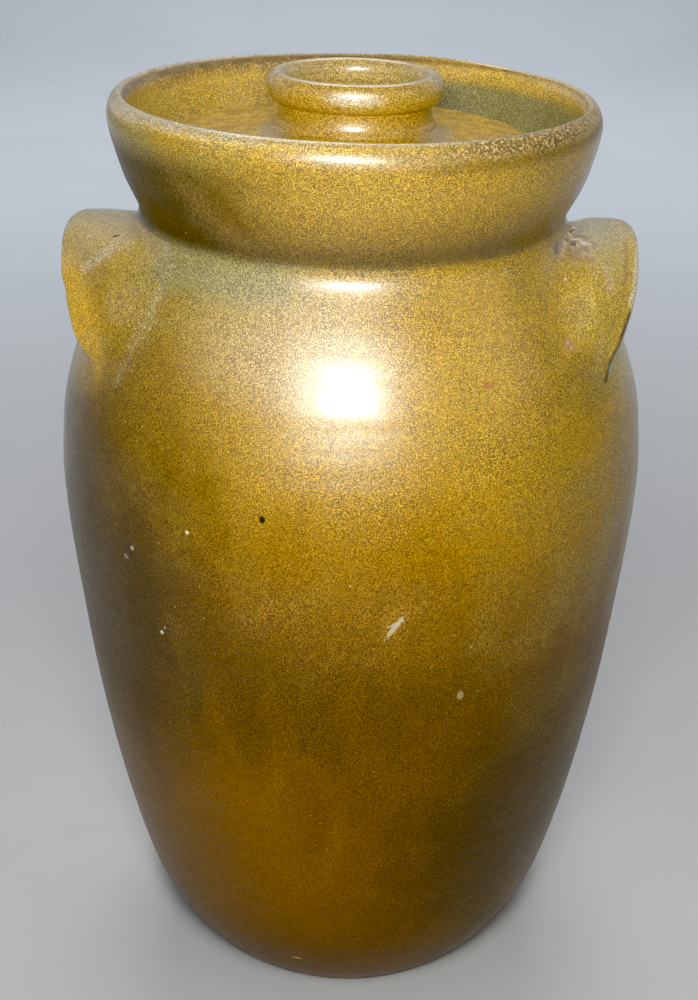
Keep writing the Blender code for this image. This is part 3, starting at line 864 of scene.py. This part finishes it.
def clay(name, dark, pale):
    """Bare fired stoneware: fine grog, small iron spots, slight blush."""
    material, shader, position = principled(name)
    big = noise(position, scale=18.0, detail=3.0, rough=0.6)
    mid = noise(position, scale=90.0, detail=4.0, rough=0.65)
    fine = noise(position, scale=900.0, detail=3.0, rough=0.6)
    base = mix(step(mid, over=(0.3, 0.7)), dark, pale)
    base = tint(base, (0.420, 0.250, 0.130), step(big, over=(0.48, 0.70)), strength=0.45)
    grog = tuple(channel * 1.35 for channel in pale)
    base = tint(base, grog, step(fine, over=(0.55, 0.70)), strength=0.5)
    distance, chance, _ = cells(position, scale=420.0)
    iron = step(distance, over=(0.24, 0.12)) * step(chance, over=(0.72, 0.85))
    base = tint(base, (0.090, 0.045, 0.022), iron, strength=0.8)
    fill(shader, {"Base Color": base, "Roughness": 0.76 + mid * 0.14,
                  "Normal": bump(fine * 0.00012 + mid * 0.0003, strength=0.7)})
    return material


BODY_GLAZE = glaze("crock_glaze", "crock")
COLLAR_GLAZE = glaze("collar_glaze", "collar")
LUG_GLAZE = glaze("lug_glaze", "lug")
LID_GLAZE = glaze("lid_glaze", "lid")
THROAT_GLAZE = glaze("throat_glaze", "throat")
BARE_CLAY = clay("bare_clay", dark=(0.290, 0.205, 0.125), pale=(0.430, 0.330, 0.220))
WEIGHT_CLAY = clay("weight_clay", dark=(0.350, 0.270, 0.180), pale=(0.520, 0.430, 0.310))


def finish_piece(piece, rides, material):
    """A piece is named after the CAD piece it replaces, plus _visual."""
    piece.data.materials.append(material)
    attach(piece, rides)
    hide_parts(piece.name.removesuffix("_visual"))


# --------------------------------------------------------------------------
# Crock: body, collar and throat ring. Sections are (z, radius).
# --------------------------------------------------------------------------
def crock_body():
    """Section from the floor's middle, up inside, down outside, to the
    middle of the underside."""
    slope_z, slope_r = np.gradient(BODY_FINE[:, 0]), np.gradient(BODY_FINE[:, 1])
    slope = np.hypot(slope_z, slope_r)
    inner = np.stack([BODY_FINE[:, 0] + slope_r / slope * WALL,
                      BODY_FINE[:, 1] - slope_z / slope * WALL], -1)
    inner = inner[(inner[:, 0] > 0.030) & (inner[:, 0] < 0.318)]
    inner = resample(inner, spacing=0.0040)
    floor = np.array([(FLOOR, 0.0), (FLOOR, 0.012), (FLOOR, 0.030), (FLOOR, 0.050),
                      (FLOOR, 0.062)])
    corner = smooth_curve([(FLOOR, 0.0600), (FLOOR, 0.0680), (FLOOR + 0.0018, 0.0715),
                           (FLOOR + 0.0070, 0.0762), tuple(inner[0])], 5)[5:-1]
    inner_lip = smooth_curve([tuple(inner[-1]), (0.3270, 0.0705), (0.3335, 0.0635),
                              (0.3368, 0.0625), (0.3380, 0.0637)], 4)[1:]
    top = np.array([(0.3380, 0.0680), (0.3380, 0.0740)])
    outer = resample(BODY_FINE, spacing=0.0014)[::-1]
    outer = outer[outer[:, 0] > 0.0022]
    foot = np.array([(0.0016, 0.0710), (0.0005, 0.0700), (0.0, 0.0688), (0.0, 0.064),
                     (0.0006, 0.0625), (0.0008, 0.055), (0.0008, 0.030), (0.0008, 0.0)])
    section = np.concatenate([floor, corner, inner, inner_lip, top, outer, foot])
    return revolve("crock_body_visual", section, 288)


def flared_collar():
    """Collar with a soft fillet where it is joined to the shoulder."""
    # z, and how far the fillet stands proud of the body
    fillet = np.array([(z, body_radius(z) + proud) for z, proud in (
        (0.3378, 0.00004), (0.3372, 0.00004), (0.3366, 0.00004), (0.3361, 0.00002),
        (0.3357, -0.00002), (0.3353, -0.00010), (0.3349, -0.00024), (0.3345, -0.00044))])
    tuck = np.array([(0.3343, body_radius(0.3343) - 0.0012), (0.3352, 0.0810),
                     (0.3362, 0.0760), (0.3372, 0.0715)])
    section = np.concatenate([smooth_curve(COLLAR_OUTER, 8)[::-1], fillet, tuck,
                              smooth_curve(COLLAR_INNER, 8)[::-1]])
    return revolve("flared_collar_visual", section, 288, closed=True, deform=collar_hand)


def throat_ring():
    """The gutter's floor and inner wall."""
    upper = smooth_curve([
        (0.3524, 0.0554), (0.3530, 0.0572), (0.3524, 0.0592), (0.3505, 0.0598),
        (0.3470, 0.0598), (0.3450, 0.0604), (0.3444, 0.0622), (0.3444, 0.0680),
        (0.3444, 0.0712)], 4)
    under = np.array([
        (0.3400, 0.0712), (0.3383, 0.0702), (0.3383, 0.0640), (0.3383, 0.0566),
        (0.3390, 0.0552), (0.3400, 0.0550), (0.3460, 0.0550), (0.3500, 0.0550)])
    return revolve("throat_ring_visual", np.concatenate([upper, under]), 192, closed=True)


finish_piece(crock_body(), "crock", BODY_GLAZE)
finish_piece(flared_collar(), "crock", COLLAR_GLAZE)
finish_piece(throat_ring(), "crock", THROAT_GLAZE)

# --------------------------------------------------------------------------
# Lug handles
# --------------------------------------------------------------------------
ROOT_FRONT, ROOT_BACK, EDGE = (smooth_curve(line, 16) for line in
                               (LUG_ROOT_FRONT, LUG_ROOT_BACK, LUG_EDGE))
LUG_THICK = 0.0105
LUG_END = 1.05                # how far the sections run; the drawn lines end at 1
LUG_SPANS = 160               # spans from foot to foot
N_FACE, N_EDGE, N_UNDER, N_ROOT = 44, 22, 12, 8
EDGE_STOP = 2 + N_FACE + N_EDGE
# by side (+1 is +X): exponent that squares the edge, turn of the edge's start, crown lift
LUG_STYLE = {1: (0.78, 0.80, 0.0012), -1: (1.0, 1.0, 0.0004)}
# rough crumbs of clay beside the neck: centre, spread, height
LUG_CRUMBS = (
    ((0.0842, -0.0105, 0.3330), 0.0011, 0.0021), ((0.0846, -0.0160, 0.3334), 0.0010, 0.0015),
    ((0.0815, -0.0210, 0.3333), 0.0012, 0.0019), ((0.0858, -0.0235, 0.3332), 0.0012, 0.0010),
    ((0.0790, -0.0275, 0.3329), 0.0013, 0.0015), ((0.0835, -0.0300, 0.3328), 0.0012, 0.0011),
    ((0.0775, -0.0345, 0.3322), 0.0013, 0.0009), ((0.0862, -0.0375, 0.3300), 0.0011, 0.0007),
)


def along(curve, way):
    """Point of a lug line: way 0 is the crown, +1 and -1 are the feet."""
    far = abs(way)
    place = min(far, 1.0) * (len(curve) - 1)
    i = min(int(place), len(curve) - 2)
    point = curve[i] + (curve[i + 1] - curve[i]) * (place - i)
    if far > 1.0:
        point = curve[-1] + (curve[-1] - curve[-2]) * (far - 1.0) * (len(curve) - 1)
    angle = math.radians(point[0]) * (1.0 if way >= 0 else -1.0)
    return (angle, *point[1:])


def polar(angle, radius, z):
    return np.array((radius * math.cos(angle), radius * math.sin(angle), z))


def lug_section(side, way):
    """Closed loop across the hood, drawn about +X: out along the face from
    the lute line, round the free edge and back underneath."""
    square, edge_turn, crown_lift = LUG_STYLE[side]
    far = abs(way)
    root_angle, root_z = along(ROOT_FRONT if way * side < 0 else ROOT_BACK, way)
    edge_angle, edge_z, edge_r = along(EDGE, way)
    # unit direction across the edge, round the body and up
    angle0, z0, _ = along(EDGE, way - 0.02)
    angle1, z1, _ = along(EDGE, way + 0.02)
    run, rise = (angle1 - angle0) * edge_r, z1 - z0
    length = math.hypot(run, rise)
    out_round, out_up = -rise / length, run / length

    fade = 1.0 - smoothstep(0.64, 0.90, far)
    crown = 1.0 - smoothstep(0.10, 0.62, far)
    close = smoothstep(0.80, LUG_END, far)
    sink = 0.00003 - 0.0016 * smoothstep(0.80, 0.93, far)
    sunk = min(sink, 0.0)
    if side < 0:
        edge_r += 0.0013 * math.exp(-((far - 0.52) / 0.20) ** 2)
    else:
        edge_r -= 0.0010 + 0.0014 * smoothstep(0.3, 0.8, far)
        edge_z += 0.0019 * math.exp(-(far / 0.40) ** 2)
    wall = body_radius(edge_z)
    reach = max(edge_r - wall, 0.0) * fade
    edge_r = wall + reach
    half = (LUG_THICK / 2 * (0.62 + 0.38 * crown)
            * (1 - 0.35 * smoothstep(0.75, LUG_END, far)))
    root_angle += (edge_angle - root_angle) * 0.55 * close
    root_z += (edge_z - root_z) * 0.30 * close
    rounding = min(half * (1.15 + 0.35 * crown), 0.60 * reach + 1e-5)

    def edge_point(across, outward):
        """Point of the rounded edge, from -1 to 1 across and 0 to 1 outward."""
        z = edge_z + out_up * half * across
        angle = edge_angle + out_round * half * across / edge_r
        radius = edge_r - rounding * (1 - outward)
        return polar(angle, max(radius, body_radius(z) + 0.00003) + sunk, z)

    root_r = body_radius(root_z) + sunk
    start = polar(root_angle, root_r, root_z)
    # the face runs into the rounded edge without a corner
    gap_round, gap_up = (root_angle - edge_angle) * edge_r, root_z - edge_z
    gap = math.hypot(gap_round, gap_up)
    offset = gap * abs((gap_round * out_round + gap_up * out_up) / (gap + 1e-9)) - half
    climb = max(edge_r - rounding - root_r, 0.0005)
    turn = math.atan2(1.7 * max(offset, 0.0) * rounding, half * climb)
    turn = min(turn, math.radians(82)) * edge_turn
    corner = edge_point(math.cos(turn), math.sin(turn))

    loop = [polar(root_angle, root_r - depth, root_z) for depth in (0.0022, 0.0009)]
    lift = (crown_lift * crown + 0.0012 * (1 - crown)) * fade
    swell_end = 0.60 - 0.32 * crown
    for k in range(N_FACE):
        q = k / N_FACE
        x, y = start[:2] + (corner[:2] - start[:2]) * q
        z = start[2] + (corner[2] - start[2]) * q ** (1.6 + 0.6 * (1 - crown))
        hump = math.sin(math.pi * q ** 1.15) ** 1.3
        z += lift * crown * hump
        radius = math.hypot(x, y)
        wall = body_radius(z)
        proud = max(radius - wall, 0.0) + lift * (1 - crown) * hump
        proud *= 0.5 * smoothstep(0.0, swell_end, q) + 0.5 * min(q / swell_end, 1.0)
        proud += sink - 0.0003 * (1.0 - smoothstep(0.0, 0.12, q))
        factor = (wall + proud) / radius
        loop.append(np.array((x * factor, y * factor, z)))
    for k in range(N_EDGE + 1):
        t = turn + (math.pi - turn) * k / N_EDGE
        across, outward = math.cos(t), math.sin(t)
        power = square + (1.0 - square) * max(0.0, 1.0 - (t - turn) / 0.6)
        loop.append(edge_point(math.copysign(abs(across) ** power, across),
                               max(outward, 0.0) ** power))
    # underside, back to the body
    last = loop[-1]
    under_z = edge_z - out_up * (half + 0.0035)
    under_angle = edge_angle - out_round * (half + 0.0035) / edge_r
    under_r = body_radius(under_z)
    end = polar(under_angle, under_r, under_z)
    for k in range(1, N_UNDER + 1):
        x, y, z = last + (end - last) * (k / N_UNDER)
        radius = math.hypot(x, y)
        factor = (max(radius, body_radius(z) + 0.00003) + sunk) / radius
        loop.append(np.array((x * factor, y * factor, z)))
    # closed inside the body's wall
    loop += [polar(under_angle, under_r - depth, under_z) for depth in (0.0010, 0.0022)]
    for k in range(1, N_ROOT):
        q = k / N_ROOT
        z = under_z + (root_z - under_z) * q
        angle = under_angle + (root_angle - under_angle) * q
        loop.append(polar(angle, body_radius(z) - 0.0024, z))
    return np.array(loop)


def lug_handle(name, side):
    """side is +1 for the lug on +X, -1 for the one on -X."""
    loops = []
    for i in range(LUG_SPANS + 1):
        place = -1.0 + 2.0 * i / LUG_SPANS
        loops.append(lug_section(side, LUG_END * (place * 0.88 + 0.12 * place ** 3)))
    loops = np.array(loops)
    rows, columns, _ = loops.shape
    x, y, z = np.moveaxis(loops, -1, 0)
    # thumb marks on the face, fading toward the root, the edge and both feet
    index = np.arange(columns)
    place = np.linspace(-1, 1, rows)[:, None]
    on_face = smoothstep(4, 16, index) * (1 - smoothstep(EDGE_STOP - 6, EDGE_STOP, index))
    off_feet = 1.0 - smoothstep(0.72, 0.98, np.abs(place))
    wave_a, wave_b = (waves(5, 40.0, 190.0, 20 + side * 3 + k) for k in range(2))
    marks = 0.00045 * wave_a(y + z * 0.7) + 0.00035 * wave_b(z * 1.3 - x)
    if side < 0:
        # soft ridge left by pressing the lug on
        ridge = -0.40
        lobe = (0.0011 * smoothstep(ridge - 0.055, ridge + 0.045, -place)
                * (1 - smoothstep(0.25, 0.6, -place)))
        marks = marks + lobe * smoothstep(6, 20, index)
    else:
        marks = marks + 0.0005 * np.exp(-((index - (2 + N_FACE - 1)) / 3.0) ** 2)
    loops[..., :2] *= (1 + marks * on_face * off_feet / np.hypot(x, y))[..., None]
    points = loops.reshape(-1, 3) * np.array((side, side, 1.0))
    if side > 0:
        for centre, spread, height in LUG_CRUMBS:
            square_distance = ((points - np.array(centre)) ** 2).sum(axis=1)
            push = height * np.exp(-square_distance / (2 * spread * spread))
            points += push[:, None] * np.array((0.15, -0.25, 0.95))
    faces = grid_faces(rows, columns, columns_close=True)
    faces.append(tuple(range(columns)))
    faces.append(tuple(reversed(range((rows - 1) * columns, rows * columns))))
    lug = mesh_object(name, hand(points), faces)
    editor = bmesh.new()
    editor.from_mesh(lug.data)
    bmesh.ops.recalc_face_normals(editor, faces=editor.faces)
    editor.to_mesh(lug.data)
    editor.free()
    return lug


for side, word in ((1, "right"), (-1, "left")):
    finish_piece(lug_handle(f"lug_handle_{word}_visual", side), "crock", LUG_GLAZE)


# --------------------------------------------------------------------------
# Lid. Sections are (z, radius).
# --------------------------------------------------------------------------
def lid_disc():
    """Plate with a dish in the middle and a flare up to the neck."""
    dish = smooth_curve([
        (0.3668, 0.0000), (0.3668, 0.0090), (0.3671, 0.0170), (0.3680, 0.0215),
        (0.3697, 0.0240), (0.3712, 0.0252)], 6)
    flare = smooth_curve([
        (0.3712, 0.0290), (0.3706, 0.0300), (0.3694, 0.0312), (0.3680, 0.0334),
        (0.3667, 0.0372), (0.3659, 0.0428), (0.3655, 0.0500), (0.3652, 0.0580),
        (0.3652, 0.0640), (0.3647, 0.0668), (0.3632, 0.0678), (0.3604, 0.0677),
        (0.3580, 0.0672), (0.3570, 0.0660)], 6)
    under = np.array([(0.3570, 0.0560), (0.3570, 0.0400), (0.3570, 0.0200), (0.3570, 0.0)])
    return revolve("lid_disc_visual", np.concatenate([dish, flare, under]), 224, sharp=60)


def lid_skirt():
    section = smooth_curve([
        (0.3566, 0.0612), (0.3569, 0.0640), (0.3566, 0.0664), (0.3550, 0.0662),
        (0.3480, 0.0661), (0.3460, 0.0658), (0.3448, 0.0648), (0.3448, 0.0630),
        (0.3460, 0.0618), (0.3480, 0.0615), (0.3550, 0.0614)], 3)
    return revolve("lid_skirt_visual", section, 192, closed=True)


def lid_neck():
    outer = smooth_curve([
        (0.3790, 0.0262), (0.3794, 0.0280), (0.3790, 0.0296), (0.3776, 0.0291),
        (0.3758, 0.0289), (0.3738, 0.0291), (0.3720, 0.0296), (0.3706, 0.0304),
        (0.3697, 0.0309)], 5)
    inner = np.array([
        (0.3695, 0.0290), (0.3695, 0.0262), (0.3700, 0.0246), (0.3715, 0.0248),
        (0.3735, 0.0251), (0.3760, 0.0254), (0.3778, 0.0258)])
    return revolve("lid_neck_visual", np.concatenate([outer, inner]), 192, closed=True)


def lid_grip_ring():
    """Rolled ring with a fuller outer belly and a flatter inner side."""
    mid_z, mid_r, half_height = 0.3832, 0.0290, 0.0053
    count = 56
    section = []
    for k in range(count):
        angle = math.pi / 2 - math.tau * k / count
        up, out = math.sin(angle), math.cos(angle)
        half_width = 0.0041 if out >= 0 else 0.0039
        z = mid_z + half_height * math.copysign(abs(up) ** 0.92, up)
        radius = mid_r + half_width * math.copysign(abs(out) ** (0.90 if out > 0 else 1.0), out)
        if out < 0 and up < 0:
            radius += 0.0002
        section.append((z, radius))
    return revolve("lid_grip_ring_visual", section, 224, closed=True)


finish_piece(lid_disc(), "lid", LID_GLAZE)
finish_piece(lid_skirt(), "lid", BARE_CLAY)
finish_piece(lid_neck(), "lid", LID_GLAZE)
finish_piece(lid_grip_ring(), "lid", LID_GLAZE)


# --------------------------------------------------------------------------
# Press weights
# --------------------------------------------------------------------------
def press_weight(name, side):
    """Half disc on one side of X = 0, with a round hole and soft edges."""
    half_gap, clearance = 0.0015, 0.0002
    hole_x, hole_radius = 0.030, 0.0125
    cutter_size = 0.2
    mid_z = (WEIGHT_LOW.z + WEIGHT_HIGH.z) / 2
    bpy.ops.mesh.primitive_cylinder_add(
        vertices=160, radius=WEIGHT_HIGH.y - clearance, depth=WEIGHT_HIGH.z - WEIGHT_LOW.z,
        location=(0, 0, mid_z))
    weight = bpy.context.object
    weight.name = name
    weight.data.name = name
    cutter_x = side * (half_gap + clearance - cutter_size / 2)
    bpy.ops.mesh.primitive_cube_add(size=cutter_size, location=(cutter_x, 0, mid_z))
    cutters = [bpy.context.object]
    bpy.ops.mesh.primitive_cylinder_add(vertices=64, radius=hole_radius, depth=0.1,
                                        location=(side * hole_x, 0, mid_z))
    cutters.append(bpy.context.object)
    for cutter in cutters:
        cut = weight.modifiers.new("cut", "BOOLEAN")
        cut.operation = "DIFFERENCE"
        cut.solver = "EXACT"
        cut.object = cutter
    bevel = weight.modifiers.new("edge", "BEVEL")
    bevel.width = 0.0028
    bevel.segments = 5
    bevel.limit_method = "ANGLE"
    bevel.angle_limit = math.radians(40)
    bpy.context.view_layer.update()
    depsgraph = bpy.context.evaluated_depsgraph_get()
    mesh = bpy.data.meshes.new_from_object(weight.evaluated_get(depsgraph))
    weight.modifiers.clear()
    weight.data = mesh
    for cutter in cutters:
        bpy.data.objects.remove(cutter, do_unlink=True)
    mesh.transform(weight.matrix_world)
    weight.matrix_world = Matrix.Identity(4)
    mesh.shade_smooth()
    mesh.set_sharp_from_angle(angle=math.radians(35))
    return weight


weights = [(word, press_weight(f"press_weight_{word}_visual", side))
           for side, word in ((1, "right"), (-1, "left"))]
for word, weight in weights:
    finish_piece(weight, f"{word}_weight", WEIGHT_CLAY)


# --------------------------------------------------------------------------
# Stage: floor that turns up into a backdrop, and a round surround
# --------------------------------------------------------------------------
def floor_paint():
    """Grey near; paler and bluer far off, the paleness painted in place of light that falls off
    with distance; and a painted contact shadow under the crock.
    """
    material, shader, position = principled("floor_paint")
    cloud = noise(position, scale=5.0, detail=4.0, rough=0.6)
    far = step(split(position)[1], over=(0.15, 1.30))
    near_colour = mix(step(cloud, over=(0.3, 0.7)), (0.530, 0.530, 0.540),
                      (0.560, 0.558, 0.562))
    far_colour = mix(step(cloud, over=(0.3, 0.7)), (0.650, 0.690, 0.740),
                     (0.680, 0.715, 0.760))
    # painted contact shadow on the floor round the crock's foot
    under = blob(position, centre=(-0.001, 0.027, 0.0), size=(0.0930, 0.0930, 1.0), soft=0.10)
    base = tint(mix(far, near_colour, far_colour), (0.045, 0.045, 0.048), under,
                strength=0.80)
    fill(shader, {"Base Color": base, "Roughness": 0.6, "Specular IOR Level": 0.25})
    return material


def surround_glow():
    """Painted light: a glowing grey in place of a lit surround, clear near the crock and over
    the backdrop behind it.
    """
    material, nodes, output = new_material("surround_glow")
    x, y, z = split(object_position(nodes))
    distance = axis_distance(x, y)
    behind = step(y, over=(-0.10, 0.60)) * step(calc("ABSOLUTE", x), over=(1.60, 0.95))
    show = step(distance, over=(0.75, 1.50)) * (1.0 - behind)
    cloud = noise(object_position(nodes), scale=5.0, detail=4.0, rough=0.6)
    tone = mix(step(z, over=(0.0, 1.2)), (0.330, 0.345, 0.365), (0.400, 0.430, 0.465))
    tone = tint(tone, (0.520, 0.540, 0.560), cloud, strength=0.10)
    glow = add_node("ShaderNodeEmission", {"Color": tone})[0]
    clear = Field(nodes.new("ShaderNodeBsdfTransparent").outputs[0])
    surface = add_node("ShaderNodeMixShader", {0: show, 1: clear, 2: glow})[0]
    fill(output, {"Surface": surface})
    return material


def upturned(start, bend, radius, steps, top):
    """Profile of (distance, z): flat from start to bend, an arc, then up."""
    angles = [k / steps * math.pi / 2 for k in range(1, steps + 1)]
    arc = [(bend + radius * math.sin(a), radius - radius * math.cos(a)) for a in angles]
    return [(start, 0.0), (bend, 0.0), *arc, (bend + radius, top)]


def stage_floor():
    material = floor_paint()
    profile = upturned(start=-3.5, bend=2.2, radius=0.7, steps=24, top=4.5)
    points = [(x, y, z) for x in (-4.5, 4.5) for y, z in profile]
    stage = mesh_object("stage_floor", points, grid_faces(2, len(profile)))
    stage.data.materials.append(material)
    stage.location.z = -0.0004
    return stage


def stage_round():
    """Seen by the camera alone."""
    material = surround_glow()
    profile = upturned(start=0.70, bend=2.1, radius=0.6, steps=16, top=4.0)
    segments = 96
    angles = [2 * math.pi * k / segments for k in range(segments)]
    points = [(r * math.cos(a), r * math.sin(a), z) for a in angles for r, z in profile]
    surround = mesh_object("stage_round", points,
                           grid_faces(segments, len(profile), rows_close=True))
    surround.data.materials.append(material)
    surround.location.z = 0.0003
    for ray in ("diffuse", "glossy", "transmission", "shadow", "volume_scatter"):
        setattr(surround, f"visible_{ray}", False)
    return surround


stage_floor()
stage_round()

# --------------------------------------------------------------------------
# Light and camera
# --------------------------------------------------------------------------
scene = bpy.context.scene
world = bpy.data.worlds.new("studio")
scene.world = world
world.use_nodes = True
world_nodes = world.node_tree.nodes
world_nodes.clear()
world_output = world_nodes.new("ShaderNodeOutputWorld")
background = world_nodes.new("ShaderNodeBackground")
fill(background, {"Color": (0.88, 0.94, 1.0, 1.0), "Strength": 0.10})
fill(world_output, {"Surface": Field(background.outputs[0])})

# Soft key just over the lens, gentle fills, and one lamp for the backdrop:
# name, location, target, width, height (None is square), watts, colour
AREA_LIGHTS = (
    ("key_over_lens", (-0.012, -0.540, 0.535), (0.0, -0.03, 0.240), 0.180, 0.046, 2.26,
     (1.0, 0.985, 0.955)),
    ("key_soft", (-0.050, -0.535, 0.548), (-0.01, -0.03, 0.250), 0.34, 0.17, 1.38,
     (0.98, 0.99, 1.0)),
    ("fill_left", (-1.4, -0.7, 1.2), (0, 0, 0.2), 1.0, None, 2.2, (0.93, 0.96, 1.0)),
    ("fill_right", (1.4, -0.6, 1.1), (0, 0, 0.2), 1.0, None, 2.2, (0.95, 0.97, 1.0)),
    ("back_left", (-1.5, 1.3, 1.1), (0, 0, 0.2), 1.8, None, 5.0, (0.95, 0.97, 1.0)),
    ("back_right", (1.5, 1.3, 1.1), (0, 0, 0.2), 1.8, None, 5.0, (0.95, 0.97, 1.0)),
    ("top_soft", (0.0, 1.7, 2.3), (0, 1.55, 0.0), 1.6, None, 34.0, (0.97, 0.98, 1.0)),
)
for name, location, target, width, height, power, colour in AREA_LIGHTS:
    light = bpy.data.lights.new(name, "AREA")
    light.energy = power
    light.color = colour
    light.size = width
    if height:
        light.shape = "RECTANGLE"
        light.size_y = height
    lamp = bpy.data.objects.new(name, light)
    scene.collection.objects.link(lamp)
    lamp.location = location
    lamp.visible_camera = False
    aim = Vector(target) - lamp.location
    lamp.rotation_euler = aim.to_track_quat("-Z", "Y").to_euler()

CAMERA_POSITION = Vector((-0.0006, -0.52578, 0.4769))
CAMERA_PITCH = 26.99          # degrees below the horizon
CAMERA_ROLL = 0.65            # degrees
lens = bpy.data.cameras.new("camera")
camera = bpy.data.objects.new("camera", lens)
scene.collection.objects.link(camera)
lens.sensor_fit = "AUTO"
lens.sensor_width = 36.0
lens.lens = 49.212
lens.clip_start = 0.01
camera.matrix_world = (Matrix.Translation(CAMERA_POSITION)
                       @ Matrix.Rotation(math.radians(90 - CAMERA_PITCH), 4, "X")
                       @ Matrix.Rotation(math.radians(CAMERA_ROLL), 4, "Z"))
scene.camera = camera
view = scene.view_settings
view.view_transform = "Standard"
view.look = "None"
view.exposure = 0.0
view.gamma = 1.0
view.use_curve_mapping = True
view.curve_mapping.black_level = (0.024, 0.024, 0.030)
view.curve_mapping.update()

bpy.context.view_layer.update()
